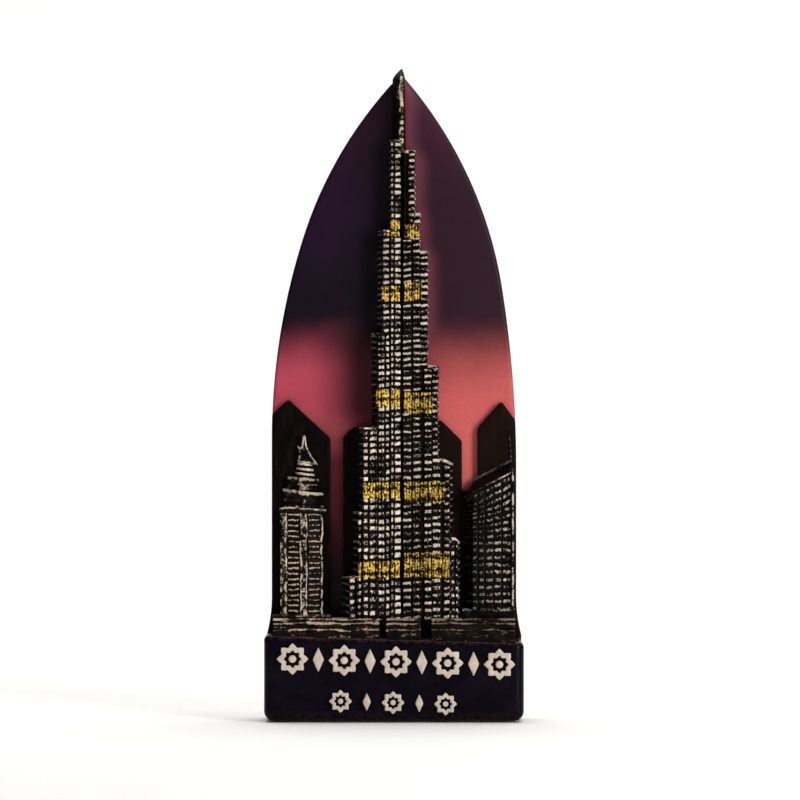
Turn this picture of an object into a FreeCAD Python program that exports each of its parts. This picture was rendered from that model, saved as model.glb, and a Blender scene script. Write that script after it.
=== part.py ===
import FreeCAD, Part
import math
import os

# A hand-painted resin relief plaque with magnets in its back: a pointed-arch plate stands on a
# thick plinth and carries a stepped tower between two smaller blocks and three flat far blocks.
# Millimetres. +X is the viewer's right, -Y is the front, +Z is up. The origin is under the middle
# of the whole plaque, on the surface that the plinth stands on.

# ---------------------------------------------------------------- whole plaque
overall_height = 100.0          # underside of the plinth to the tip of the needle
plinth_width = 39.7
plinth_depth = 12.2
plinth_corner_radius = 1.4      # bottom corners, seen from the front
plinth_edge_radius = 0.6        # around the front face
deck_height_left = 13.2         # top of the plinth at its left end
deck_height_right = 12.1        # the moulded deck runs down to the right

# ---------------------------------------------------------------- arched plate
plate_inset = 1.0               # behind the plinth's ends, each side
plate_thickness = 4.0
plate_apex_drop = 0.7           # the needle's tip stands this far above the plate
plate_apex_shift = 1.08         # the point leans to the right of the plate's middle
flare_height = 6.0              # the plate's sides sweep out to the plinth below here
flare_width = 0.8
flare_top_height = 18.8
left_spring_height = 43.1       # straight side ends, arch begins
left_shoulder_angle = 18.0      # degrees turned by the lower of the two arcs
left_radius_ratio = 0.628       # upper arc's radius over the lower arc's
right_spring_height = 38.7
right_shoulder_angle = 9.05
right_radius_ratio = 0.367

# ---------------------------------------------------------------- flat far blocks
panel_relief = 1.2              # how far they stand out of the plate
left_sky_gap = 1.94             # plate showing between the left and centre far blocks
left_panel_peak_inset = 2.6
left_panel_peak_height = 49.1
left_panel_outer_height = 46.8
left_panel_inner_height = 43.1
centre_panel_left_reach = 9.07  # from the tower's valley line
centre_panel_right_reach = 9.23
centre_panel_left_height = 43.3
centre_panel_chamfer = 1.45
centre_panel_right_height = 42.7
centre_panel_right_slope_run = 3.2
right_sky_gap = 2.39            # plate showing between the centre and right far blocks
right_panel_peak_inset = 2.3
right_panel_peak_height = 48.8
right_panel_outer_height = 45.9
right_panel_inner_height = 44.7
right_panel_foot_height = 35.0

# ---------------------------------------------------------------- tower
tower_foot_height = 15.6        # top of the podium
valley_x = 1.23                 # the groove between the two front wings
valley_relief_foot = 4.4        # out of the plate, at the tower's foot
valley_relief_top = 2.2         # at the tip: the front leans back
left_wing_slope = 0.35          # the wings rise towards their outer ends
right_wing_slope = 0.25
wing_reach = 8.0                # depth over which a bay's outer wall leans in

# Bays from the valley outwards: foot distance from the valley, lean of the outer wall,
# top as a share of the tower's height, drop of the top towards its outer end.
left_bays = [
    (2.00, 0.31, 0.869, 0.0),
    (3.85, 1.15, 0.705, 0.0),
    (4.84, 1.22, 0.518, 0.0),
    (6.77, 0.92, 0.346, 0.0),
    (7.84, 1.38, 0.193, 0.0),
    (9.38, 1.38, 0.077, 0.3),
]
right_bays = [
    (2.15, 0.30, 0.850, 0.0),
    (2.92, 0.30, 0.736, 0.0),
    (4.15, 0.30, 0.667, 0.0),
    (5.84, 0.46, 0.460, 0.3),
    (8.00, 0.77, 0.292, 0.9),
    (9.07, 0.60, 0.148, 0.8),
]

needle_foot_left = 1.4          # from the valley line
needle_foot_right = 0.65
needle_ridge_width = 0.7
needle_foot_relief = 2.6
needle_taper = 0.85             # size of the tip over size of the foot

# ---------------------------------------------------------------- podium
podium_setback = 0.4            # behind the plinth's front
podium_step_depth = 0.35
podium_step_heights = (14.05, 15.0)
podium_left_end = 3.38          # distances from the valley line
podium_centre_left = 2.46
podium_centre_right = 2.92
podium_right_start = 4.46
podium_edge_inset = 0.3         # from the plate's edges

# ---------------------------------------------------------------- left block
left_block_inset = 1.38         # from the plate's left edge
left_block_margin = 0.77        # from the left far block's inner edge
left_block_relief = 3.6
left_block_pilaster_width = 1.08
left_block_wall_relief = 2.2    # relief at its two outer corners
left_base_height = 0.5
left_base_relief = 4.2
shaft_top_height = 31.6
cornice_height = 0.8
cornice_overhang = 0.25
lower_drum_radius = 3.15
lower_drum_height = 2.7
upper_drum_radius = 2.46
upper_drum_height = 2.0
ring_radius = 1.48
ring_core_radius = 1.15
ring_height = 0.4
ring_gap = 0.35
ring_count = 3
sail_height = 4.2
sail_thickness = 1.1

# ---------------------------------------------------------------- right block
right_block_inset = 0.7         # from the plate's right edge to the body
right_block_wall_run = 1.39     # width of its slanting left wall
right_block_relief = 3.4
right_base_height = 1.4
right_base_relief = 4.2
right_block_left_height = 34.8
right_block_right_height = 38.1
roof_rise = 1.9
fin_width = 0.45
fin_extra_relief = 0.3
fin_extra_height = 0.3

# ---------------------------------------------------------------- raised frieze
frieze_relief = 0.8
frieze_slope = 1.5              # degrees, down to the right, as the deck above it
upper_row_height = 9.15
upper_row_shift = 0.3
upper_row_margin = 1.69         # plinth beyond the row at each end, before the shift
upper_star_radius = 2.4
upper_star_count = 5
upper_lozenge_share = 0.56      # lozenge's width over the gap between stars
lower_row_height = 2.92
lower_row_shift = -0.15
lower_star_radius = 1.75
lower_star_count = 3
lower_pitch = 8.0
lower_lozenge_share = 0.28
star_points = 8
star_waist = 0.74               # inner corners over outer corners
star_window = 0.56              # open middle over outside
star_boss = 0.24                # round boss in the middle over outside
lozenge_size = 0.8              # half height over the star's radius

# ---------------------------------------------------------------- magnets
magnet_diameter = 18.0
magnet_thickness = 3.0
magnet_proud = 0.4              # stands out of the back
magnet_clearance = 0.15         # round its rim
glue_thickness = 0.2
magnet_heights = (26.0, 58.0)

# ---------------------------------------------------------------- levels from the sizes
back_y = (magnet_proud + plinth_depth + frieze_relief) / 2 - magnet_proud
front_y = back_y - plinth_depth
plate_face_y = back_y - plate_thickness
panel_face_y = plate_face_y - panel_relief
plate_left = -plinth_width / 2 + plate_inset
plate_right = plinth_width / 2 - plate_inset
plate_apex_height = overall_height - plate_apex_drop
tower_height = overall_height - tower_foot_height
centre_panel_left = valley_x - centre_panel_left_reach
centre_panel_right = valley_x + centre_panel_right_reach
left_panel_inner = centre_panel_left - left_sky_gap
right_panel_inner = centre_panel_right + right_sky_gap
left_block_left = plate_left + left_block_inset
left_block_right = left_panel_inner - left_block_margin
left_block_axis = (left_block_left + left_block_right) / 2
right_block_left = centre_panel_right + right_block_wall_run
right_block_right = plate_right - right_block_inset
upper_row_length = plinth_width - 2 * upper_row_margin
upper_pitch = (upper_row_length - 2 * upper_star_radius) / (upper_star_count - 1)
spare = 3.0                     # how far a trimming solid runs past what it trims


def vector(x, y, z):
    return FreeCAD.Vector(x, y, z)


def prism_along_y(points, y_start, y_end):
    """A solid whose front view is the polygon of (x, z) points."""
    corners = [vector(x, y_start, z) for x, z in points]
    face = Part.Face(Part.makePolygon(corners + corners[:1]))
    return face.extrude(vector(0, y_end - y_start, 0))


def prism_along_z(points, z_start, z_end):
    """A solid whose plan is the polygon of (x, y) points."""
    corners = [vector(x, y, z_start) for x, y in points]
    face = Part.Face(Part.makePolygon(corners + corners[:1]))
    return face.extrude(vector(0, 0, z_end - z_start))


def prism_along_x(points, x_start, x_end):
    """A solid whose side view is the polygon of (y, z) points."""
    corners = [vector(x_start, y, z) for y, z in points]
    face = Part.Face(Part.makePolygon(corners + corners[:1]))
    return face.extrude(vector(x_end - x_start, 0, 0))


def export(node, solids):
    """Write one node: a single solid, or several alike as a group."""
    shape = solids[0] if len(solids) == 1 else Part.makeCompound(solids)
    shape.exportStep("parts/" + node + ".step")


def deck_height(x):
    """Height of the sloping deck at x."""
    share = (x + plinth_width / 2) / plinth_width
    return deck_height_left + share * (deck_height_right - deck_height_left)


def below_deck():
    """Everything under the deck, for trimming what stands on it."""
    left = -plinth_width / 2 - spare
    right = plinth_width / 2 + spare
    outline = [(left, -spare), (right, -spare), (right, deck_height(right)), (left, deck_height(left))]
    return prism_along_y(outline, back_y + spare, front_y - spare)


def make_plinth():
    left = -plinth_width / 2
    right = plinth_width / 2
    outline = [(left, 0), (right, 0), (right, deck_height_right), (left, deck_height_left)]
    block = prism_along_y(outline, back_y, front_y)
    bottom_corners = []
    for edge in block.Edges:
        middle = edge.CenterOfMass
        if abs(middle.z) < 0.01 and abs(abs(middle.x) - right) < 0.01:
            bottom_corners.append(edge)
    block = block.makeFillet(plinth_corner_radius, bottom_corners)
    front_edges = [edge for edge in block.Edges if edge.BoundBox.YMax < front_y + 0.01]
    return block.makeFillet(plinth_edge_radius, front_edges)


def arch_side(half_width, spring_height, shoulder_angle, radius_ratio):
    """Five points of one side as (distance from the apex line, height): ends and middles of
    a large lower arc, which leaves the straight side smoothly, and a tighter upper arc."""
    angle = math.radians(shoulder_angle)
    rise = plate_apex_height - spring_height
    across = (1 - radius_ratio) * math.cos(angle) - 1
    along = (1 - radius_ratio) * math.sin(angle)
    square_term = across ** 2 + along ** 2 - radius_ratio ** 2
    linear_term = half_width * across - rise * along
    constant_term = half_width ** 2 + rise ** 2
    root = math.sqrt(linear_term ** 2 - square_term * constant_term)
    lower_radius = (-linear_term - root) / square_term
    upper_radius = radius_ratio * lower_radius
    lower_centre = (half_width - lower_radius, spring_height)
    shift = lower_radius - upper_radius
    upper_centre = (lower_centre[0] + shift * math.cos(angle), spring_height + shift * math.sin(angle))
    end_angle = math.acos(-upper_centre[0] / upper_radius)

    def point(centre, radius, turn):
        return centre[0] + radius * math.cos(turn), centre[1] + radius * math.sin(turn)

    return [
        point(lower_centre, lower_radius, 0),
        point(lower_centre, lower_radius, angle / 2),
        point(lower_centre, lower_radius, angle),
        point(upper_centre, upper_radius, (angle + end_angle) / 2),
        (0.0, plate_apex_height),
    ]


def flare_side():
    """Three points of the concave flare as (distance out of the side, height), from the top."""
    radius = (flare_width ** 2 + flare_height ** 2) / (2 * flare_width)
    half_turn = math.asin(flare_height / radius) / 2
    middle = (radius * (1 - math.cos(half_turn)), flare_top_height - radius * math.sin(half_turn))
    return [(0.0, flare_top_height), middle, (flare_width, flare_top_height - flare_height)]


def plate_block(y_start, y_end):
    """The plate's outline, pushed from y_start to y_end and standing on the deck."""
    apex_x = plate_apex_shift
    left_arch = arch_side(apex_x - plate_left, left_spring_height, left_shoulder_angle,
                          left_radius_ratio)
    right_arch = arch_side(plate_right - apex_x, right_spring_height, right_shoulder_angle,
                           right_radius_ratio)
    flare = flare_side()
    left_up = [vector(plate_left - out, y_start, z) for out, z in reversed(flare)]
    left_arc = [vector(apex_x - out, y_start, z) for out, z in left_arch]
    right_arc = [vector(apex_x + out, y_start, z) for out, z in reversed(right_arch)]
    right_down = [vector(plate_right + out, y_start, z) for out, z in flare]
    low_z = min(deck_height_left, deck_height_right) - spare
    low_left = vector(left_up[0].x, y_start, low_z)
    low_right = vector(right_down[-1].x, y_start, low_z)
    edges = [
        Part.LineSegment(low_left, left_up[0]).toShape(),
        Part.Arc(*left_up).toShape(),
        Part.LineSegment(left_up[2], left_arc[0]).toShape(),
        Part.Arc(*left_arc[0:3]).toShape(),
        Part.Arc(*left_arc[2:5]).toShape(),
        Part.Arc(*right_arc[0:3]).toShape(),
        Part.Arc(*right_arc[2:5]).toShape(),
        Part.LineSegment(right_arc[4], right_down[0]).toShape(),
        Part.Arc(*right_down).toShape(),
        Part.LineSegment(right_down[2], low_right).toShape(),
        Part.LineSegment(low_right, low_left).toShape(),
    ]
    face = Part.Face(Part.Wire(edges))
    return face.extrude(vector(0, y_end - y_start, 0)).cut(below_deck())


def disc(radius, height, y_start, thickness):
    """A round disc whose axis runs front to back."""
    return Part.makeCylinder(radius, thickness, vector(0, y_start, height), vector(0, 1, 0))


def magnet_parts(height):
    """Pocket, glue disc and magnet at one height on the back."""
    pocket_radius = magnet_diameter / 2 + magnet_clearance
    pocket_depth = magnet_thickness + glue_thickness - magnet_proud
    floor_y = back_y - pocket_depth
    pocket = disc(pocket_radius, height, floor_y, pocket_depth + spare)
    glue = disc(pocket_radius, height, floor_y, glue_thickness)
    magnet = disc(magnet_diameter / 2, height, floor_y + glue_thickness, magnet_thickness)
    return pocket, glue, magnet


def wing_front(side, slope):
    """Everything behind a wing's front plane, which starts at the valley and leans back."""
    width = plinth_width
    loops = []
    for z, relief in ((tower_foot_height, valley_relief_foot), (overall_height, valley_relief_top)):
        corners = [
            vector(valley_x, plate_face_y, z),
            vector(valley_x, plate_face_y - relief, z),
            vector(valley_x + side * width, plate_face_y - relief - slope * width, z),
            vector(valley_x + side * width, plate_face_y, z),
        ]
        loops.append(Part.makePolygon(corners + corners[:1]))
    return Part.makeLoft(loops, True, True)


def make_wing(side, bays, slope):
    """The bays of one wing, side by side, each as tall as its own setback level."""
    front = wing_front(side, slope)
    solids = []
    inner_foot = 0.0
    inner_lean = 0.0
    for foot, lean, top_share, drop in bays:
        top = tower_foot_height + top_share * tower_height
        reach_y = plate_face_y - wing_reach
        plan = [
            (valley_x + side * inner_foot, plate_face_y),
            (valley_x + side * (inner_foot - inner_lean), reach_y),
            (valley_x + side * (foot - lean), reach_y),
            (valley_x + side * foot, plate_face_y),
        ]
        inner_x = valley_x + side * (inner_foot - inner_lean)
        outer_x = valley_x + side * foot
        elevation = [(inner_x, tower_foot_height), (outer_x, tower_foot_height),
                     (outer_x, top - drop), (inner_x, top)]
        column = prism_along_z(plan, tower_foot_height, top)
        trimmed = column.common(prism_along_y(elevation, plate_face_y, reach_y))
        solids.append(trimmed.common(front))
        inner_foot = foot
        inner_lean = lean
    return solids


def make_needle(left_bay):
    """The needle over the tower: a tapering ridge that stands on the first two bays."""
    foot_z = tower_foot_height + right_bays[0][2] * tower_height
    foot = [(-needle_foot_left, 0), (-needle_ridge_width / 2, -needle_foot_relief),
            (needle_ridge_width / 2, -needle_foot_relief), (needle_foot_right, 0)]
    loops = []
    for z, scale in ((foot_z, 1.0), (overall_height, needle_taper)):
        corners = [vector(plate_apex_shift + x * scale, plate_face_y + y * scale, z) for x, y in foot]
        loops.append(Part.makePolygon(corners + corners[:1]))
    return Part.makeLoft(loops, True, True).cut(left_bay)


def make_panels(tower_bays):
    """The three flat far blocks on the plate, open where the tower stands through them."""
    low = -spare
    left_outline = [
        (plate_left - spare, low), (left_panel_inner, low), (left_panel_inner, left_panel_inner_height),
        (plate_left + left_panel_peak_inset, left_panel_peak_height),
        (plate_left, left_panel_outer_height), (plate_left - spare, left_panel_outer_height),
    ]
    centre_top = centre_panel_left_height + centre_panel_chamfer
    slope_top = centre_panel_right_height + centre_panel_right_slope_run
    centre_outline = [
        (centre_panel_left, low), (centre_panel_right, low),
        (centre_panel_right, centre_panel_right_height),
        (centre_panel_right - centre_panel_right_slope_run, slope_top),
        (valley_x, slope_top), (valley_x, centre_top),
        (centre_panel_left + centre_panel_chamfer, centre_top),
        (centre_panel_left, centre_panel_left_height),
    ]
    right_outline = [
        (centre_panel_right, low), (plate_right + spare, low),
        (plate_right + spare, right_panel_outer_height), (plate_right, right_panel_outer_height),
        (plate_right - right_panel_peak_inset, right_panel_peak_height),
        (right_panel_inner, right_panel_inner_height), (right_panel_inner, right_panel_foot_height),
        (centre_panel_right, right_panel_foot_height),
    ]
    layer = plate_block(plate_face_y, panel_face_y)
    panels = []
    for outline in (left_outline, centre_outline, right_outline):
        panel = prism_along_y(outline, plate_face_y, panel_face_y).common(layer)
        panels.append(panel)
    panels[1] = panels[1].cut(Part.makeCompound(tower_bays))
    return panels


def make_podium(x_start, x_end):
    """One stepped slab of the podium, along the foot of the tower."""
    low = min(deck_height_left, deck_height_right) - spare
    y = front_y + podium_setback
    profile = [(panel_face_y, low), (y, low)]
    for level in podium_step_heights:
        profile.append((y, level))
        y += podium_step_depth
        profile.append((y, level))
    profile.append((y, tower_foot_height))
    profile.append((panel_face_y, tower_foot_height))
    return prism_along_x(profile, x_start, x_end).cut(below_deck())


def block_plan(overhang):
    """Plan of the left block: two faces that meet at a front pilaster."""
    left = left_block_left - overhang
    right = left_block_right + overhang
    half = left_block_pilaster_width / 2
    front = panel_face_y - left_block_relief - overhang
    wall = panel_face_y - left_block_wall_relief - overhang
    return [(left, panel_face_y), (left, wall), (left_block_axis - half, front),
            (left_block_axis + half, front), (right, wall), (right, panel_face_y)]


def half_drum(profile):
    """A half-round solid over the left block, from a profile of (radius, height) points."""
    corners = [vector(left_block_axis + radius, panel_face_y, z) for radius, z in profile]
    face = Part.Face(Part.makePolygon(corners + corners[:1]))
    axis = vector(left_block_axis, panel_face_y, 0)
    return face.revolve(axis, vector(0, 0, 1), -180)


def make_left_block():
    """The left block from its base slab up to the sail, as (name, solid) pairs."""
    base_top = tower_foot_height + left_base_height
    base_left = plate_left + podium_edge_inset
    base_front = panel_face_y - left_base_relief
    base_plan = [(base_left, panel_face_y), (base_left, base_front),
                 (left_panel_inner, base_front), (left_panel_inner, panel_face_y)]
    pieces = [("left_block_base", prism_along_z(base_plan, tower_foot_height, base_top))]
    pieces.append(("left_block_shaft", prism_along_z(block_plan(0), base_top, shaft_top_height)))
    cornice_top = shaft_top_height + cornice_height
    cornice = prism_along_z(block_plan(cornice_overhang), shaft_top_height, cornice_top)
    pieces.append(("left_block_cornice", cornice))
    level = cornice_top
    for name, radius, height in (("left_block_lower_drum", lower_drum_radius, lower_drum_height),
                                 ("left_block_upper_drum", upper_drum_radius, upper_drum_height)):
        profile = [(0, level), (radius, level), (radius, level + height), (0, level + height)]
        pieces.append((name, half_drum(profile)))
        level += height
    profile = [(0, level)]
    for _ in range(ring_count):
        profile.append((ring_core_radius, level))
        profile.append((ring_core_radius, level + ring_gap))
        profile.append((ring_radius, level + ring_gap))
        level += ring_gap + ring_height
        profile.append((ring_radius, level))
        profile.append((ring_core_radius, level))
    profile.pop()
    profile.append((0, level))
    pieces.append(("left_block_rings", half_drum(profile)))
    sail = [(-0.8, 0), (-0.55, 0.43), (-0.95, 0.64), (-0.25, 0.55), (0.0, 1.0), (0.4, 1.0),
            (0.6, 0.62), (1.3, 0.26), (2.5, -0.12), (ring_radius + 0.1, 0)]
    outline = [(left_block_axis + x, level + share * sail_height) for x, share in sail]
    sail_solid = prism_along_y(outline, panel_face_y, panel_face_y - sail_thickness)
    pieces.append(("left_block_sail", sail_solid))
    return pieces


def make_right_block():
    """The right block: base, body with a slanting top, roof wedge and edge fin."""
    left = right_block_left
    right = right_block_right
    front = panel_face_y - right_block_relief
    base_top = tower_foot_height + right_base_height
    base_right = plate_right - podium_edge_inset
    base_front = panel_face_y - right_base_relief
    base_plan = [(centre_panel_right, panel_face_y), (centre_panel_right, base_front),
                 (base_right, base_front), (base_right, panel_face_y)]
    base = prism_along_z(base_plan, tower_foot_height, base_top)
    plan = [(centre_panel_right, panel_face_y), (left, front), (right, front), (right, panel_face_y)]
    slope = (right_block_right_height - right_block_left_height) / (right - left)
    foot_height = right_block_left_height - slope * (left - centre_panel_right)
    elevation = [(centre_panel_right, base_top), (right, base_top),
                 (right, right_block_right_height), (centre_panel_right, foot_height)]
    column = prism_along_z(plan, base_top, right_block_right_height)
    body = column.common(prism_along_y(elevation, panel_face_y, front))
    wedge_face = Part.Face(Part.makePolygon([
        vector(left, panel_face_y, right_block_left_height),
        vector(left, front, right_block_left_height),
        vector(left, panel_face_y, right_block_left_height + roof_rise),
        vector(left, panel_face_y, right_block_left_height),
    ]))
    roof = wedge_face.extrude(vector(right - left, 0, right_block_right_height - right_block_left_height))
    fin_outline = [(right, base_top), (right + fin_width, base_top),
                   (right + fin_width, right_block_right_height + fin_extra_height),
                   (right, right_block_right_height + fin_extra_height)]
    fin = prism_along_y(fin_outline, panel_face_y, front - fin_extra_relief).cut(roof)
    return [("right_block_base", base), ("right_block_body", body),
            ("right_block_roof", roof), ("right_block_fin", fin)]


def star_outline(x, z, radius):
    corners = []
    for step in range(2 * star_points):
        reach = radius if step % 2 == 0 else radius * star_waist
        turn = math.pi * step / star_points
        corners.append((x + reach * math.cos(turn), z + reach * math.sin(turn)))
    return corners


def make_frieze(row_height, row_shift, radius, count, pitch, lozenge_share):
    """One row of raised star rosettes with lozenges between them, on the plinth's front."""
    stars = []
    lozenges = []
    front = front_y - frieze_relief
    for index in range(count):
        along = (index - (count - 1) / 2) * pitch
        x = row_shift + along
        z = row_height - x * math.tan(math.radians(frieze_slope))
        ring = prism_along_y(star_outline(x, z, radius), front_y, front)
        window = prism_along_y(star_outline(x, z, radius * star_window), front_y, front)
        stars.append(ring.cut(window))
        boss = Part.makeCylinder(radius * star_boss, frieze_relief, vector(x, front_y, z), vector(0, -1, 0))
        stars.append(boss)
        if index < count - 1:
            x += pitch / 2
            z = row_height - x * math.tan(math.radians(frieze_slope))
            tall = radius * lozenge_size
            wide = (pitch / 2 - radius) * lozenge_share
            outline = [(x, z - tall), (x + wide, z), (x, z + tall), (x - wide, z)]
            lozenges.append(prism_along_y(outline, front_y, front))
    return stars, lozenges


def build():
    os.makedirs("parts", exist_ok=True)
    export("plinth", [make_plinth()])
    plate = plate_block(back_y, plate_face_y)
    for name, height in zip(("lower", "upper"), magnet_heights):
        pocket, glue, magnet = magnet_parts(height)
        plate = plate.cut(pocket)
        export("magnet_glue_" + name, [glue])
        export("magnet_" + name, [magnet])
    export("back_plate", [plate])

    left_wing = make_wing(-1, left_bays, left_wing_slope)
    right_wing = make_wing(1, right_bays, right_wing_slope)
    for number, bay in enumerate(left_wing, 1):
        export("tower_left_bay_%d" % number, [bay])
    for number, bay in enumerate(right_wing, 1):
        export("tower_right_bay_%d" % number, [bay])
    export("tower_needle", [make_needle(left_wing[0])])

    for name, panel in zip(("left", "centre", "right"), make_panels(left_wing + right_wing)):
        export("far_block_" + name, panel.Solids)

    export("podium_left", [make_podium(plate_left + podium_edge_inset, valley_x - podium_left_end)])
    export("podium_centre", [make_podium(valley_x - podium_centre_left, valley_x + podium_centre_right)])
    export("podium_right", [make_podium(valley_x + podium_right_start, plate_right - podium_edge_inset)])

    for name, solid in make_left_block() + make_right_block():
        export(name, [solid])

    rows = (
        ("upper", upper_row_height, upper_row_shift, upper_star_radius, upper_star_count, upper_pitch,
         upper_lozenge_share),
        ("lower", lower_row_height, lower_row_shift, lower_star_radius, lower_star_count, lower_pitch,
         lower_lozenge_share),
    )
    for name, *row in rows:
        stars, lozenges = make_frieze(*row)
        export("frieze_stars_" + name, stars)
        export("frieze_lozenges_" + name, lozenges)


build()
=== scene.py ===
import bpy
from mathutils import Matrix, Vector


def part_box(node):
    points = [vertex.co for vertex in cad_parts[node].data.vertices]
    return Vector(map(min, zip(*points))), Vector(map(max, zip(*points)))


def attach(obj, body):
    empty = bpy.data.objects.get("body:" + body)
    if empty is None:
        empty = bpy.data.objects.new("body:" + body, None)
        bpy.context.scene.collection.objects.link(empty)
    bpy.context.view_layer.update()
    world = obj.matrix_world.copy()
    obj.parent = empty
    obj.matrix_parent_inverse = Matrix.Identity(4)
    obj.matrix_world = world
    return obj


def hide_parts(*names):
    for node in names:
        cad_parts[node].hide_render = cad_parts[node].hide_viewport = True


bl_info = {
    "name": "Skyline relief plaque",
    "version": (1, 0, 0),
    "blender": (4, 5, 0),
    "location": "3D View > Sidebar > Plaque",
    "description": "Builds the painted look of a cast resin relief plaque over its CAD frame",
    "category": "Object",
}

import math

import bmesh
import bpy
import numpy as np
from bpy.props import FloatProperty, FloatVectorProperty, PointerProperty
from mathutils import Vector

# Geometry is worked out in millimetres in the CAD frame (+X right, -Y front, +Z up) and turned to
# metres when a mesh is made.
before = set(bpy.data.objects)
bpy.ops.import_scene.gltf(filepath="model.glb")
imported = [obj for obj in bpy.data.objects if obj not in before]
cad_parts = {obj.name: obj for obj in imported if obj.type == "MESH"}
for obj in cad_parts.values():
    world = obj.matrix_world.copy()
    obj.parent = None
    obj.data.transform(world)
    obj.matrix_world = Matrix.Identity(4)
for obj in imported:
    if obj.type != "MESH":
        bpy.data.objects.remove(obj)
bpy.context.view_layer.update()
MM = 0.001
QUARTER = math.pi / 2


def node_box(name):
    """Lowest and highest corner of a CAD node, in millimetres."""
    low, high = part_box(name)
    return np.array(low) / MM, np.array(high) / MM


PLATE_LOW, PLATE_HIGH = node_box("back_plate")
PLINTH_LOW, PLINTH_HIGH = node_box("plinth")
PANEL_FACE = node_box("far_block_left")[0][1]
PLATE_FACE = PLATE_LOW[1]
BACK_FACE = PLATE_HIGH[1]
FRONT_FACE = PLINTH_LOW[1]
VALLEY_X = node_box("tower_left_bay_1")[1][0]
TOWER_FOOT = node_box("tower_left_bay_1")[0][2]
OVERALL_HEIGHT = node_box("tower_needle")[1][2]
BAY_COUNT = 6
# Depths inside the plate where the hidden ends of the pieces in front of it lie.
INSIDE_PLATE = 1.5
SLAB_END = 1.4


# -------------------------------------------------------------------------- colours and sizes
def linear(code):
    """A '#rrggbb' sRGB colour as linear red, green, blue."""
    channels = [int(code[i:i + 2], 16) / 255 for i in (1, 3, 5)]
    return tuple(c / 12.92 if c <= 0.04045 else ((c + 0.055) / 1.055) ** 2.4 for c in channels)


def colour_property(name, code, description):
    return FloatVectorProperty(name=name, description=description, subtype="COLOR", size=3,
                               min=0.0, max=1.0, default=linear(code))


def length_property(name, millimetres, description):
    return FloatProperty(name=name, description=description, default=millimetres * MM,
                         unit="LENGTH", precision=5)


class PlaqueSizes(bpy.types.PropertyGroup):
    plate_edge: length_property("Plate edge", 0.55, "Radius of the plate's front edge")
    plate_crown: length_property("Plate crown", 0.3, "How far the sky falls back to its edges")
    tower_fillet: length_property("Tower fillet", 2.6, "Width of the ramp from sky to tower")
    gap_depth: length_property("Mullion gap", 0.5, "Depth of the gaps between window columns")
    floor_depth: length_property("Floor groove", 0.34, "Depth of the grooves between floors")
    upper_pitch: length_property("Upper floor pitch", 0.92, "Floor to floor, tower's upper part")
    lower_pitch: length_property("Lower floor pitch", 1.08, "Floor to floor, tower's lower part")
    panel_edge: length_property("Far block edge", 0.3, "Radius of the far blocks' front edges")
    frieze_edge: length_property("Frieze edge", 0.22, "Radius of the raised ornament's edges")


class PlaqueColours(bpy.types.PropertyGroup):
    sky_top: colour_property("Sky top", "#40192b", "Plum at the point of the arch")
    sky_night: colour_property("Sky night", "#2e1722", "Dusky violet of the upper half")
    sky_glow: colour_property("Sky glow", "#d66462", "Airbrushed pink over the roofs")
    sky_low: colour_property("Sky low", "#dc6b66", "Coral between the far blocks")
    far_blocks: colour_property("Far blocks", "#170d08", "Brown-black of the flat far blocks")
    wash: colour_property("Wash", "#040202", "Thin black-brown wash that fills the grooves")
    silver: colour_property("Silver", "#efe1cb", "Warm silver, dry-brushed over the ribs")
    gold: colour_property("Gold", "#fbd25a", "Gold paint on the tower's plant floors")
    plinth: colour_property("Plinth", "#0b0411", "Purple-black enamel of the plinth")
    cream: colour_property("Cream", "#d9ccbd", "Cream enamel on the raised ornament")
    resin: colour_property("Raw resin", "#cfc6b6", "Unpainted back of the casting")
    ferrite: colour_property("Ferrite", "#2b2a2c", "Sintered ferrite of the magnets")
    glue: colour_property("Glue", "#c9b27a", "Amber glue round the magnets")
    floor: colour_property("Floor", "#f4f3f1", "Pale floor that the plaque stands on")


def size(key):
    """A length of PlaqueSizes in millimetres."""
    return getattr(bpy.context.scene.plaque_sizes, key) / MM


# -------------------------------------------------------------------------- numbers and noise
def smooth(low, high, value):
    """0 below low, 1 above high and an even S-curve between them."""
    t = np.clip((value - low) / (high - low), 0.0, 1.0)
    return t * t * (3 - 2 * t)


def pulse(value, start, end, soft):
    """1 between start and end, with edges soft wide."""
    return smooth(start - soft, start + soft, value) * (1 - smooth(end - soft, end + soft, value))


def mix(first, second, share):
    """first where share is 0 and second where it is 1."""
    return first * (1 - share) + second * share


def noise(x, y, cell, seed):
    """A smooth random field from -1 to 1 whose lumps are about cell across."""
    table = np.random.default_rng(seed).uniform(-1, 1, (64, 64))
    u = np.asarray(x, float) / cell
    v = np.asarray(y, float) / cell
    i = np.floor(u).astype(int)
    j = np.floor(v).astype(int)
    fu = smooth(0, 1, u - i)
    fv = smooth(0, 1, v - j)
    near = table[i % 64, j % 64] * (1 - fu) + table[(i + 1) % 64, j % 64] * fu
    far = table[i % 64, (j + 1) % 64] * (1 - fu) + table[(i + 1) % 64, (j + 1) % 64] * fu
    return near * (1 - fv) + far * fv


def lumps(rows, cell, seed, wide=1.0, tall=1.0):
    """noise over points as they are seen from the front, squeezed by wide and tall."""
    return noise(rows[..., 0] * wide, rows[..., 2] * tall, cell, seed)


def speckle(i, j, seed):
    """A fixed random number from 0 to 1 for each whole-number cell."""
    table = np.random.default_rng(seed).random((97, 89))
    return table[np.asarray(i, int) % 97, np.asarray(j, int) % 89]


# -------------------------------------------------------------------------- meshes
# A closed end repeats its loop at this share of its size, so that the paint changes over there.
CAP_SHARE = 0.94


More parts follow.
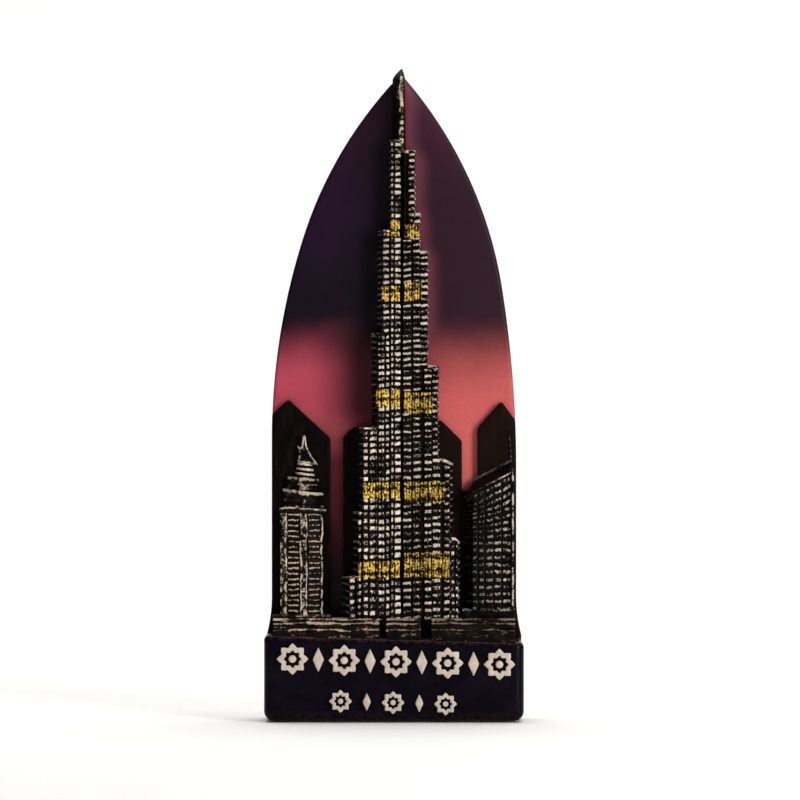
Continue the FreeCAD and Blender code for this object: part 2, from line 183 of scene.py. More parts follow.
def skin(name, rows, fields=None, ring=False):
    """A closed mesh through equal loops of points: rows is (loops, points, 3) in millimetres.
    The end loops are closed to their middles, or joined to each other for a ring.
    fields are values per point that the paint reads."""
    rows = np.asarray(rows, float)
    count, around = rows.shape[:2]
    points = rows.reshape(-1, 3)
    values = {key: np.broadcast_to(np.asarray(value, float), (count, around)).reshape(-1)
              for key, value in (fields or {}).items()}
    index = np.arange(count * around).reshape(count, around)
    lower = index if ring else index[:-1]
    upper = np.roll(index, -1, axis=0) if ring else index[1:]
    corners = [lower, np.roll(lower, -1, axis=1), np.roll(upper, -1, axis=1), upper]
    faces = np.stack(corners, axis=-1).reshape(-1, 4).tolist()
    for loop in () if ring else (index[0], index[-1]):
        middle = points[loop].mean(axis=0)
        inner = len(points) + np.arange(around)
        hub = len(points) + around
        points = np.vstack([points, middle + CAP_SHARE * (points[loop] - middle), middle])
        values = {key: np.r_[value, np.full(around + 1, value[loop].mean())]
                  for key, value in values.items()}
        inner_ahead = np.roll(inner, -1)
        faces += np.stack([loop, np.roll(loop, -1), inner_ahead, inner], axis=-1).tolist()
        faces += [[int(a), int(b), hub] for a, b in zip(inner, inner_ahead)]
    mesh = bpy.data.meshes.new(name)
    mesh.from_pydata((points * MM).tolist(), [], faces)
    for key, value in values.items():
        attribute = mesh.attributes.new(key, "FLOAT", "POINT")
        attribute.data.foreach_set("value", value.astype(np.float32))
    return settle(name, mesh)


def settle(name, mesh):
    """Turn a mesh's faces outwards, shade it smooth and put it in the scene."""
    work = bmesh.new()
    work.from_mesh(mesh)
    bmesh.ops.dissolve_degenerate(work, dist=1e-8, edges=work.edges)
    bmesh.ops.recalc_face_normals(work, faces=work.faces)
    work.to_mesh(mesh)
    work.free()
    mesh.shade_smooth()
    return add_to_scene(name, mesh)


def add_to_scene(name, data):
    """A new object in the scene from a mesh, a light or a camera."""
    thing = bpy.data.objects.new(name, data)
    bpy.context.scene.collection.objects.link(thing)
    return thing


def brushed_skin(piece, rows, raised, tone, gold=0.0):
    """A painted piece. raised is what the dry brush catches, tone how bright it is there and
    gold how much of it is gilt."""
    return skin(piece + "_painted", rows,
                {"raised": np.clip(raised, 0, 1), "tone": tone, "gold": gold})


def join(name, things):
    """One object from several, with its materials and fields kept."""
    first = things[0]
    with bpy.context.temp_override(active_object=first, selected_editable_objects=things):
        bpy.ops.object.join()
    first.name = name
    first.data.name = name
    return first


def place(thing, slot, material, *nodes):
    """Paint a piece, let it ride with the casting and stand for its CAD nodes."""
    thing.data.materials.clear()
    thing.data.materials.append(material)
    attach(thing, "root")
    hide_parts(*nodes)


# -------------------------------------------------------------------------- outlines and slabs
def circle(count, centre_x=0.0, centre_z=0.0, radius=1.0):
    """(x, z) points round a circle."""
    turns = np.linspace(0, 2 * math.pi, count, endpoint=False)
    return np.column_stack([centre_x + radius * np.cos(turns), centre_z + radius * np.sin(turns)])


def polyline(corners, step):
    """Points along straight pieces, step apart, with every corner kept."""
    corners = np.asarray(corners, float)
    points = []
    for start, end in zip(corners[:-1], corners[1:]):
        count = max(1, int(round(np.linalg.norm(end - start) / step)))
        points.extend(start + (end - start) * t for t in np.arange(count) / count)
    points.append(corners[-1])
    return np.array(points)


def rounded_path(corners, radius, step):
    """A closed outline through (x, z) corners, each rounded off, as even points step apart."""
    corners = np.asarray(corners, float)
    dense = []
    for before, here, after in zip(np.roll(corners, 1, 0), corners, np.roll(corners, -1, 0)):
        back = before - here
        ahead = after - here
        cut = min(radius, 0.45 * np.linalg.norm(back), 0.45 * np.linalg.norm(ahead))
        start = here + back / np.linalg.norm(back) * cut
        end = here + ahead / np.linalg.norm(ahead) * cut
        for t in np.linspace(0, 1, 7):
            dense.append((1 - t) ** 2 * start + 2 * t * (1 - t) * here + t ** 2 * end)
    return even_points(np.array(dense), step)


def even_points(loop, step):
    """The closed loop walked again with points step apart."""
    closed = np.vstack([loop, loop[:1]])
    lengths = np.r_[0, np.cumsum(np.linalg.norm(np.diff(closed, axis=0), axis=1))]
    count = max(12, int(round(lengths[-1] / step)))
    stops = np.linspace(0, lengths[-1], count, endpoint=False)
    return np.column_stack([np.interp(stops, lengths, closed[:, k]) for k in range(2)])


def inward(loop):
    """Unit vectors that point into a closed outline."""
    along = np.roll(loop, -1, 0) - np.roll(loop, 1, 0)
    along /= np.linalg.norm(along, axis=1, keepdims=True) + 1e-12
    across = np.column_stack([-along[:, 1], along[:, 0]])
    area = np.sum(loop[:, 0] * np.roll(loop[:, 1], -1) - np.roll(loop[:, 0], -1) * loop[:, 1])
    return across if area > 0 else -across


def at_depth(loop, y):
    """A closed (x, z) outline as points at depth y."""
    return np.insert(loop, 1, y, axis=1)


def edge_rows(outline, front, edge, turns):
    """Loops round a front edge. outline gives the shape for an inset."""
    return [at_depth(outline(edge * (1 - math.cos(turn))), front + edge * (1 - math.sin(turn)))
            for turn in turns]


# How far the rings across a slab's face lie from its edge (0) to its middle (1).
FACE_RINGS = (0.06, 0.14, 0.25, 0.4, 0.58, 0.78, 0.92)
# Rows of a slab before its rounded edge, and before its face.
EDGE_START = 3
FACE_START = 9


def slab_rows(loop, back, front, edge):
    """Loops of a slab seen from the front: side wall, rounded front edge and face."""
    into = inward(loop)
    middle = loop.mean(axis=0)
    rows = [at_depth(loop, y) for y in np.linspace(back, front + edge, EDGE_START + 1)[:-1]]
    rows += edge_rows(lambda inset: loop + into * inset, front, edge,
                      np.linspace(0, QUARTER, FACE_START - EDGE_START))
    rim = loop + into * edge
    rows += [at_depth(rim + (middle - rim) * share, front) for share in FACE_RINGS]
    return np.array(rows)


def drawn_rows(x, profile):
    """A (y, z) profile drawn out along x."""
    rows = np.zeros((len(x), len(profile), 3))
    rows[..., 0] = x[:, None]
    rows[..., 1:] = profile[None]
    return rows


# -------------------------------------------------------------------------- material nodes
def add_node(tree, kind, sockets=None, **settings):
    """Add a shader node. settings are its own values; sockets takes a value or an output."""
    made = tree.nodes.new(kind)
    for key, value in settings.items():
        setattr(made, key, value)
    for key, value in (sockets or {}).items():
        socket = made.inputs[key]
        if isinstance(value, bpy.types.NodeSocket):
            tree.links.new(value, socket)
        else:
            socket.default_value = value
    return made


def new_material(name):
    """An empty node material, its tree, and object coordinates with one unit a millimetre."""
    material = bpy.data.materials.new(name)
    material.use_nodes = True
    tree = material.node_tree
    tree.nodes.clear()
    where = add_node(tree, "ShaderNodeTexCoord").outputs["Object"]
    scaled = add_node(tree, "ShaderNodeVectorMath", {0: where, 3: 1 / MM}, operation="SCALE")
    return material, tree, scaled.outputs[0]


def paint(colour):
    """A socket's colour from a '#rrggbb' code, a key of PlaqueColours or a node's output."""
    if not isinstance(colour, str):
        return colour
    if colour.startswith("#"):
        return (*linear(colour), 1.0)
    return (*getattr(bpy.context.scene.plaque_colours, colour), 1.0)


def blend(tree, share, first, second):
    """Mix two colours by share."""
    return add_node(tree, "ShaderNodeMix", {0: share, 6: paint(first), 7: paint(second)},
                    data_type="RGBA", blend_type="MIX").outputs[2]


def grain(tree, where, width, detail=2.0, roughness=0.5):
    """Even noise from 0 to 1 with lumps of the given width in millimetres."""
    return add_node(tree, "ShaderNodeTexNoise",
                    {"Vector": where, "Scale": 1 / width, "Detail": detail,
                     "Roughness": roughness}).outputs["Fac"]


def fade(tree, value, low, high, start=0.0, end=1.0):
    """value mapped from low..high to start..end with soft ends."""
    return add_node(tree, "ShaderNodeMapRange",
                    {"Value": value, "From Min": low, "From Max": high, "To Min": start,
                     "To Max": end}, interpolation_type="SMOOTHSTEP").outputs["Result"]


def maths(tree, operation, first, second=0.0):
    return add_node(tree, "ShaderNodeMath", {0: first, 1: second}, operation=operation).outputs[0]


def times(tree, first, second):
    return maths(tree, "MULTIPLY", first, second)


def axes_of(tree, where):
    """The X, Y and Z outputs of a position."""
    return add_node(tree, "ShaderNodeSeparateXYZ", {0: where}).outputs


def stretched(tree, where, tall):
    """A position squeezed upright, so that grain over it runs up and down like brush strokes."""
    return add_node(tree, "ShaderNodeMapping",
                    {"Vector": where, "Scale": (1.0, 1.0, tall)}).outputs["Vector"]


def field(tree, name):
    """A value that the mesh carries at each point."""
    return add_node(tree, "ShaderNodeAttribute", attribute_name=name).outputs["Fac"]


def bump(tree, height, distance, strength):
    """Surface relief too fine for the mesh, distance in millimetres."""
    return add_node(tree, "ShaderNodeBump", {"Height": height, "Distance": distance * MM,
                                             "Strength": strength}).outputs["Normal"]


def finish(tree, sockets):
    """Close a material with one principled shader."""
    shader = add_node(tree, "ShaderNodeBsdfPrincipled", sockets)
    add_node(tree, "ShaderNodeOutputMaterial", {"Surface": shader.outputs["BSDF"]})


# -------------------------------------------------------------------------- ribbed walls
def ribbed_body(name, outlines, levels, surface, z=None, top_edge=0.18):
    """A wall that follows plan outlines from level to level, pressed in between its raised ribs.
    outlines is (levels, points, 2) from one hidden end to the other, z the height of each point
    if it isn't its level. surface(x, z, along) gives the pressed-in depth, the raised share, the
    tone and the gold of each point, and top_edge is the radius of the upper edge."""
    steps = np.linalg.norm(np.diff(outlines, axis=1), axis=2)
    along = np.concatenate([np.zeros((len(levels), 1)), np.cumsum(steps, axis=1)], axis=1)
    tangent = np.gradient(outlines, axis=1)
    tangent /= np.linalg.norm(tangent, axis=2, keepdims=True) + 1e-9
    inner = np.stack([-tangent[..., 1], tangent[..., 0]], axis=2)
    inner *= np.sign(inner[:, outlines.shape[1] // 2, 1].mean())
    if z is None:
        z = level_rows(outlines, levels)
    depth, raised, tone, gold = surface(outlines[..., 0], z, along)
    open_ends = np.ones(outlines.shape[1])
    open_ends[[0, -1]] = 0
    below = np.clip(top_edge - (levels[-1] - levels), 0, None)
    rounding = top_edge - np.sqrt(top_edge ** 2 - below ** 2)
    push = (depth + rounding[:, None]) * open_ends
    rows = np.dstack([outlines + inner * push[..., None], z])
    return skin(name, rows, {"raised": raised, "tone": tone, "gold": gold})


def level_rows(outlines, levels):
    """The level of each point of the outlines."""
    return np.repeat(levels[:, None], outlines.shape[1], axis=1)


def floor_bars(beat, share, key, seed):
    """Bars of one column: beat counts floors, share is how much of a floor is raised."""
    cell = np.floor(beat)
    inside = beat - cell
    bar = smooth(0.02, 0.24, inside) * (1 - smooth(share - 0.06, share + 0.16, inside))
    return bar, 0.5 + 0.5 * speckle(cell + 40, key * 11 + 3, seed)


def strongest(shape, columns):
    """Cover, bar, level and tone of the window column that covers each point most."""
    best = np.zeros((4,) + shape)
    for there, *rest in columns:
        found = np.stack([np.broadcast_to(value, shape) for value in (there, *rest)])
        best = np.where(there > best[0], found, best)
    return best


# -------------------------------------------------------------------------- sky plate
ARCH_LEFT = dict(spring=43.1, shoulder=18.0, ratio=0.628)
ARCH_RIGHT = dict(spring=38.7, shoulder=9.05, ratio=0.367)
APEX_X = 1.08
APEX_Z = PLATE_HIGH[2]
PLATE_HALF_WIDTH = 18.85
PLATE_FOOT = 11.6
FLARE_TOP = 18.8
FLARE_HEIGHT = 6.0
FLARE_WIDTH = 0.8
# Points up one side wall, round one front edge and across the back, in each loop of the plate.
WALL_POINTS = 5
BACK_POINTS = 30
EDGE_TURNS = np.linspace(0, QUARTER, 7)
# How much of the rim's dark paint reaches each point round the front edge.
RIM_FADE = np.array([1.0, 0.7, 0.4, 0.2, 0.1, 0.0])


def arch_reach(z, half_width, spring, shoulder, ratio):
    """Distance from the apex line to the arch at height z: a large arc, then a tighter one."""
    turn = math.radians(shoulder)
    rise = APEX_Z - spring
    across = (1 - ratio) * math.cos(turn) - 1
    along = (1 - ratio) * math.sin(turn)
    square = across ** 2 + along ** 2 - ratio ** 2
    linear_term = half_width * across - rise * along
    root = math.sqrt(linear_term ** 2 - square * (half_width ** 2 + rise ** 2))
    lower = (-linear_term - root) / square
    upper = ratio * lower
    join_z = spring + lower * math.sin(turn)
    centre_x = half_width - lower + (lower - upper) * math.cos(turn)
    centre_z = spring + (lower - upper) * math.sin(turn)
    low_arc = half_width - lower + np.sqrt(np.clip(lower ** 2 - (z - spring) ** 2, 0, None))
    high_arc = centre_x + np.sqrt(np.clip(upper ** 2 - (z - centre_z) ** 2, 0, None))
    above = np.where(z < join_z, low_arc, np.maximum(high_arc, 0))
    return np.where(z < spring, half_width, above)


def plate_sides(z):
    """Left and right edge of the plate at height z, with the flare at its foot."""
    z = np.asarray(z, float)
    radius = (FLARE_WIDTH ** 2 + FLARE_HEIGHT ** 2) / (2 * FLARE_WIDTH)
    fall = np.clip(FLARE_TOP - z, 0, FLARE_HEIGHT)
    flare = radius - np.sqrt(radius ** 2 - fall ** 2)
    left = APEX_X - arch_reach(z, APEX_X + PLATE_HALF_WIDTH, **ARCH_LEFT) - flare
    right = APEX_X + arch_reach(z, PLATE_HALF_WIDTH - APEX_X, **ARCH_RIGHT) + flare
    return left, right


def tower_sides(z):
    """Left and right foot of the tower on the plate at height z."""
    left = np.full_like(z, VALLEY_X - 1.0)
    right = np.full_like(z, VALLEY_X + 0.6)
    for number in range(1, BAY_COUNT + 1):
        low, high = node_box("tower_left_bay_%d" % number)
        left = np.where(z < high[2], np.minimum(left, low[0]), left)
        low, high = node_box("tower_right_bay_%d" % number)
        right = np.where(z < high[2], np.maximum(right, high[0]), right)
    window = np.hanning(21) / np.hanning(21).sum()
    return tuple(np.convolve(np.pad(side, 10, "edge"), window, "valid") for side in (left, right))


def build_plate():
    """The sky plate: a crowned face with rounded edges that sweeps up to the tower."""
    levels = np.r_[np.linspace(PLATE_FOOT, 92, 300), np.linspace(92.2, APEX_Z - 0.12, 60)]
    across = np.concatenate([np.linspace(-1, -0.9, 8)[:-1], np.linspace(-0.9, 0.9, 150),
                             np.linspace(0.9, 1, 8)[1:]])
    rows = []
    painted_shadows = []
    painted_highlights = []
    for z, x0, x1, foot0, foot1 in zip(levels, *plate_sides(levels), *tower_sides(levels)):
        loop = plate_loop(z, x0, x1, foot0, foot1, across)
        rows.append(np.column_stack([loop, np.full(len(loop), z)]))
        x = loop[:, 0]
        # The painted shadow of the tower on its left, and the painted highlight down its right.
        low_sky = 1 - smooth(58, 62, z)
        reach = smooth(1.7 * low_sky, 7.5 + 3.2 * low_sky, foot0 - x)
        painted_shadows.append((1 - reach) * smooth(41, 48, z))
        beside = np.clip(x - foot1, 0, None)
        painted_highlights.append(np.exp(-(beside / 1.25) ** 2) * smooth(foot1 - 2, foot1, x)
                     * smooth(56, 61, z))
    face = len(rows[0]) - BACK_POINTS - 2 * (WALL_POINTS + len(RIM_FADE))
    side = np.r_[np.ones(WALL_POINTS), RIM_FADE, np.zeros(face), RIM_FADE[::-1],
                 np.ones(WALL_POINTS + BACK_POINTS)]
    plate = skin("sky_plate", rows, {"side": side, "glaze": painted_shadows, "halo": painted_highlights})
    cut_pockets(plate)
    return plate


def plate_loop(z, x0, x1, foot0, foot1, across):
    """The plate's (x, y) outline at one level, from the back round the front to the back."""
    middle = (x0 + x1) / 2
    half = (x1 - x0) / 2
    edge = min(size("plate_edge"), half * 0.7)
    front_x = middle + across * (half - edge)
    front_z = np.full_like(front_x, z)
    crown = size("plate_crown") * np.abs(across) ** 2.2
    ramp = np.clip(np.maximum(foot0 - front_x, front_x - foot1), 0, None)
    lift = 0.2 * (1 - smooth(0, size("tower_fillet"), ramp)) * smooth(68, 86, front_z)
    front_y = PLATE_FACE + crown - lift + 0.05 * noise(front_x, front_z, 4.0, 11) + 0.05

    def side(sign, y):
        wall = np.linspace(BACK_FACE - 0.5, y + edge, WALL_POINTS + 1)[:-1]
        turn_x = middle + sign * (half - edge * (1 - np.cos(EDGE_TURNS[:-1])))
        turn_y = y + edge * (1 - np.sin(EDGE_TURNS[:-1]))
        edge_x = np.full(WALL_POINTS, middle + sign * half)
        return np.column_stack([np.r_[edge_x, turn_x], np.r_[wall, turn_y]])

    back_x = np.linspace(1, -1, BACK_POINTS) * (half - min(0.5, half * 0.3)) + middle
    return np.vstack([side(-1, front_y[0]), np.column_stack([front_x, front_y]),
                      side(1, front_y[-1])[::-1],
                      np.column_stack([back_x, np.full(BACK_POINTS, BACK_FACE)])])


def cut_pockets(plate):
    """Cut the two round magnet pockets out of the back."""
    for label in ("lower", "upper"):
        low, high = node_box("magnet_glue_" + label)
        centre = (low + high) / 2
        depth = 10.0
        bpy.ops.mesh.primitive_cylinder_add(vertices=96, radius=(high[0] - low[0]) / 2 * MM,
                                            depth=depth * MM)
        cutter = bpy.context.active_object
        cutter.rotation_euler = (QUARTER, 0, 0)
        cutter.location = Vector((centre[0], low[1] + depth / 2, centre[2])) * MM
        bpy.context.view_layer.update()
        modifier = plate.modifiers.new("pocket", "BOOLEAN")
        modifier.object = cutter
        modifier.operation = "DIFFERENCE"
        modifier.solver = "EXACT"
        bpy.context.view_layer.objects.active = plate
        bpy.ops.object.modifier_apply(modifier=modifier.name)
        bpy.data.objects.remove(cutter, do_unlink=True)


# Where one band of the sky gives way to the next, as heights in millimetres.
TOP_BAND = (80, 92)
# Below this band the sky left of the tower is darker: painted shade.
LEFT_SHADE_BAND = (74, 65)
LEFT_DUSK = (62.2, 52.0)
RIGHT_DUSK = (62.5, 47.5)
LOW_GLOW = (49, 40)
# Towards the bottom the strip left of the tower darkens: partly darker paint, partly painted shade
# from the tower and the far blocks.
WINE_STRIP = (48, 39)
DEEP_STRIP = (37, 20)
# The same across the plate: the strip left of the tower, and the side of the tower's painted
# shadow.
LEFT_OF_TOWER = (4, -4)
SHADOW_SIDE = (1.5, -1.0)


def sky_lacquer():
    """Airbrushed plum, violet and coral under a satin varnish, which gives the plate its dusk,
    with bare chalky resin on the back. It also holds painted light and shade: a darker left half,
    a painted shadow of the tower on its left and a painted highlight down its right."""
    material, tree, where = new_material("airbrushed sky lacquer")
    axes = axes_of(tree, where)
    x = axes["X"]
    mist = grain(tree, where, 9.0, 3.0)
    height = maths(tree, "ADD", axes["Z"], fade(tree, mist, 0.25, 0.75, -0.8, 0.8))
    # The left half is darker than the right: partly the airbrush, partly painted shade on the side
    # away from the key light.
    right = fade(tree, x, -6, 8)
    night = blend(tree, right, "#210d25", "sky_night")
    # Painted shade: the sky left of the tower is darker under the top band.
    left_shade = times(tree, fade(tree, height, *LEFT_SHADE_BAND), fade(tree, x, *LEFT_OF_TOWER))
    night = blend(tree, left_shade, night, "#150917")
    top = blend(tree, right, "#2a1424", "sky_top")
    high = blend(tree, fade(tree, height, *TOP_BAND), night, top)
    glow = blend(tree, right, "#b9485a", "sky_glow")
    left_dusk = blend(tree, fade(tree, height, *LEFT_DUSK), high, glow)
    right_dusk = blend(tree, fade(tree, height, *RIGHT_DUSK), high, glow)
    dusk = blend(tree, right, left_dusk, right_dusk)
    low = blend(tree, fade(tree, height, *LOW_GLOW), dusk, "sky_low")
    # The strip left of the tower darkens towards the bottom: partly darker paint, partly painted
    # shade.
    strip = fade(tree, x, *LEFT_OF_TOWER)
    wine = blend(tree, times(tree, fade(tree, height, *WINE_STRIP), strip), low, "#6a222e")
    deep = blend(tree, times(tree, fade(tree, height, *DEEP_STRIP), strip), wine, "#1c090a")
    # A painted highlight down the tower's right, and a painted shadow that the tower casts on its
    # left.
    halo = blend(tree, times(tree, field(tree, "halo"), 0.55), deep, "#8a4452")
    shadow_side = fade(tree, x, *SHADOW_SIDE)
    glaze = times(tree, times(tree, field(tree, "glaze"), shadow_side), 0.85)
    shadowed_sky = blend(tree, glaze, halo, "#0c050e")
    specks = fade(tree, grain(tree, where, 0.25, 3.0), 0.35, 0.7, 0.0, 0.10)
    speckled = blend(tree, specks, shadowed_sky, "#12080f")
    off_centre = maths(tree, "ABSOLUTE", maths(tree, "SUBTRACT", x, 0.5))
    rim = maths(tree, "MAXIMUM", field(tree, "side"),
                times(tree, fade(tree, off_centre, 16.5, 17.2), fade(tree, axes["Z"], 48, 44)))
    rim_cover = times(tree, rim, fade(tree, mist, 0.35, 0.65, 0.74, 0.93))
    front = blend(tree, rim_cover, speckled, "#120a0c")
    chalk = blend(tree, fade(tree, grain(tree, where, 1.4, 4.0), 0.3, 0.7), "resin", "#b5aa98")
    scuffed = maths(tree, "ADD", axes["Y"], fade(tree, mist, 0.3, 0.7, -0.12, 0.12))
    bare = fade(tree, scuffed, BACK_FACE - 0.4, BACK_FACE - 0.2)
    colour = blend(tree, bare, front, chalk)
    gloss = fade(tree, grain(tree, where, 0.6, 2.0), 0.2, 0.8, 0.36, 0.5)
    finish(tree, {"Base Color": colour,
                  "Roughness": maths(tree, "ADD", gloss, times(tree, bare, 0.35)),
                  "Specular IOR Level": 0.12,
                  "Normal": bump(tree, grain(tree, where, 0.32, 3.0), 0.02, 0.5)})
    return material


# -------------------------------------------------------------------------- tower
# Foot and lean of each bay's outer wall, in millimetres from the valley line, and the drop of
# its top.
WING_SLOPE = {-1: 0.35, 1: 0.25}
WING_REACH = 8.0
VALLEY_RELIEF = (4.4, 2.2)
BAYS = {
    -1: ((2.00, 0.31, 0.0), (3.85, 1.15, 0.0), (4.84, 1.22, 0.0), (6.77, 0.92, 0.0),
         (7.84, 1.38, 0.0), (9.38, 1.38, 0.3)),
    1: ((2.15, 0.30, 0.0), (2.92, 0.30, 0.0), (4.15, 0.30, 0.0), (5.84, 0.46, 0.3),
        (8.00, 0.77, 0.9), (9.07, 0.60, 0.8)),
}
SIDE_NAMES = {-1: "left", 1: "right"}
# Columns of windows: start and end from the valley, lowest and highest level, raised share of a
# floor, tone of the dry-brushed silver.
COLUMNS = {
    -1: ((0.14, 1.06, 0, 100, 0.72, 1.0), (1.26, 1.7, 0, 100, 0.7, 0.9),
         (1.9, 2.84, 59.4, 100, 0.66, 0.85), (1.9, 2.42, 0, 59.2, 0.7, 1.0),
         (2.64, 3.56, 0, 59.2, 0.7, 0.95), (4.0, 4.88, 0, 45, 0.72, 1.0),
         (5.17, 5.86, 0, 45, 0.7, 1.0), (6.2, 6.78, 0, 33, 0.7, 1.0),
         (7.14, 8.0, 0, 23, 0.68, 0.9)),
    1: ((0.1, 1.34, 0, 73.6, 0.54, 0.88), (0.95, 2.0, 73.6, 100, 0.62, 1.0),
        (1.68, 2.82, 0, 73.6, 0.54, 0.95), (1.85, 2.95, 73.6, 79, 0.6, 1.0),
        (2.8, 4.05, 54.3, 72.5, 0.58, 1.0), (3.38, 4.44, 0, 54.3, 0.54, 1.0),
        (4.62, 5.8, 0, 55, 0.6, 1.0), (6.36, 7.3, 0, 41, 0.58, 1.0),
        (7.46, 7.95, 0, 41, 0.58, 1.0), (8.15, 9.05, 0, 29, 0.58, 1.0)),
}
# Plant floors painted gold: lowest and highest level and reach from the valley, for each wing.
GOLD_FLOORS = {
    -1: ((74.1, 76.7, 2.3), (64.2, 66.5, 3.9), (47.9, 50.7, 5.0), (33.9, 36.4, 6.8),
         (21.8, 24.4, 8.1)),
    1: ((73.9, 76.0, 2.95), (64.2, 67.0, 2.95), (47.0, 50.2, 4.7), (33.3, 36.5, 6.6),
        (21.8, 25.6, 7.3)),
}
PITCH_CHANGE = 41.0
# How far each bay's hidden edge runs into the plate.
BAY_ROOT = 0.35
# Thickness, evenness and tone of the worn ledge along the top of each wing's bays.
LEDGE = {-1: (0.42, 0.58, 0.66), 1: (0.6, 0.72, 0.9)}


def floor_count(z):
    """Number of floors up to a level. The lower part has taller floors."""
    pitch = np.where(z > PITCH_CHANGE, size("upper_pitch"), size("lower_pitch"))
    return (z - PITCH_CHANGE) / pitch + 100


def wing_front(side, u, z):
    """Depth, raised share, tone and gold of a wing's front, u from the valley."""
    u = u + 0.07 * noise(u * 2, z, 1.1, 21 + side) + 0.035 * noise(u, z, 0.4, 25 + side)
    wander = 0.10 * noise(u, z, 1.3, 31 + side) + 0.06 * noise(u, z, 0.5, 35 + side)
    beat = floor_count(z - side * 0.06 * u + wander)

    def column(key, start, end, low, high, share, silver):
        there = pulse(z, low, high, 0.12) * pulse(u, start, end, 0.07)
        bar, height = floor_bars(beat + 0.12 * math.sin(5 * key), share, key, 41 + side)
        return there, bar, height, silver

    columns, bars, level, tone = strongest(
        u.shape, (column(key, *row) for key, row in enumerate(COLUMNS[side])))
    if side < 0:
        tone = tone * (1 - 0.16 * smooth(60, 80, z))
    gold = np.zeros_like(u)
    for low, high, reach in GOLD_FLOORS[side]:
        row = pulse(z, low, high, 0.12) * (1 - smooth(reach - 0.1, reach + 0.1, u))
        gold = np.maximum(gold, row)
    waves = np.cos(2 * math.pi * u / 0.42 + 0.8 * noise(u, z * 0.6, 0.8, 51))
    ribs = 0.55 + 0.45 * smooth(-0.6, 0.3, waves)
    ribs = ribs * (1 - 0.5 * (1 - smooth(0.05, 0.2, np.abs((beat * 0.5) % 1 - 0.5))))
    columns = mix(columns, np.maximum(columns, 0.7) * smooth(0.05, 0.3, u), gold)
    bars = mix(bars, ribs, gold)
    level = mix(level, 0.8 + 0.2 * noise(u, z, 0.5, 53), gold)
    tone = mix(tone, 1.0 if side < 0 else 0.72, gold)
    depth = size("gap_depth") * (1 - columns) + size("floor_depth") * columns * (1 - bars * level)
    return depth, columns * bars * level, tone, gold


def wall_ribs(side, along, z):
    """Depth, raised share and tone of a bay's outer wall, along from the nose."""
    beat = floor_count(z + 0.10 * noise(along, z, 1.3, 61 + side))
    bar, height = floor_bars(beat, 0.5, 3, 71 + side)
    wide = sum(pulse(along, start, start + 0.56, 0.08) for start in np.arange(0.12, 8.0, 0.86))
    depth = size("floor_depth") * 0.8 * (1 - bar * wide)
    # The left wing's outer walls get a lower tone than the right's: painted shade on walls that
    # face away from the key light.
    return depth, bar * wide * height, 0.4 if side < 0 else 0.7


def bay_plan(side, number, levels):
    """Plan outlines of a bay at each level: a hidden end, the front to the nose, the outer wall.
    Also gives the number of points on the front."""
    slope = WING_SLOPE[side]
    relief = np.interp(levels, (TOWER_FOOT, OVERALL_HEIGHT), VALLEY_RELIEF)[:, None]

    def corner(foot, lean):
        depth = (relief + slope * foot) / (1 + slope * lean / WING_REACH)
        return foot - lean * depth / WING_REACH, depth

    foot, lean = BAYS[side][number - 1][:2]
    nose_u, nose_depth = corner(foot, lean)
    inner_u = corner(*(BAYS[side][number - 2][:2] if number > 1 else (0.0, 0.0)))[0]
    inner_u = inner_u - (0.04 if number > 1 else 0.0)
    fronts = max(16, int((nose_u.max() - inner_u.min()) / 0.085))
    walls = max(14, int(nose_depth.max() / 0.17))
    front_u = inner_u + (nose_u - inner_u) * np.linspace(0, 1, fronts)[None, :]
    softness = 0.22
    near = np.clip(softness - (nose_u - front_u), 0, None)
    front_d = relief + slope * front_u - near ** 2 / softness * 0.7
    down = np.linspace(0, 1, walls + 1)[None, 1:]
    wall_d = front_d[:, -1:] * (1 - down) - BAY_ROOT * down
    wall_u = nose_u + (foot - nose_u) * down
    u = np.concatenate([inner_u, front_u, wall_u], axis=1)
    d = np.concatenate([np.full_like(inner_u, -BAY_ROOT), front_d, wall_d], axis=1)
    return np.stack([VALLEY_X + side * u, PLATE_FACE - d], axis=2), fronts


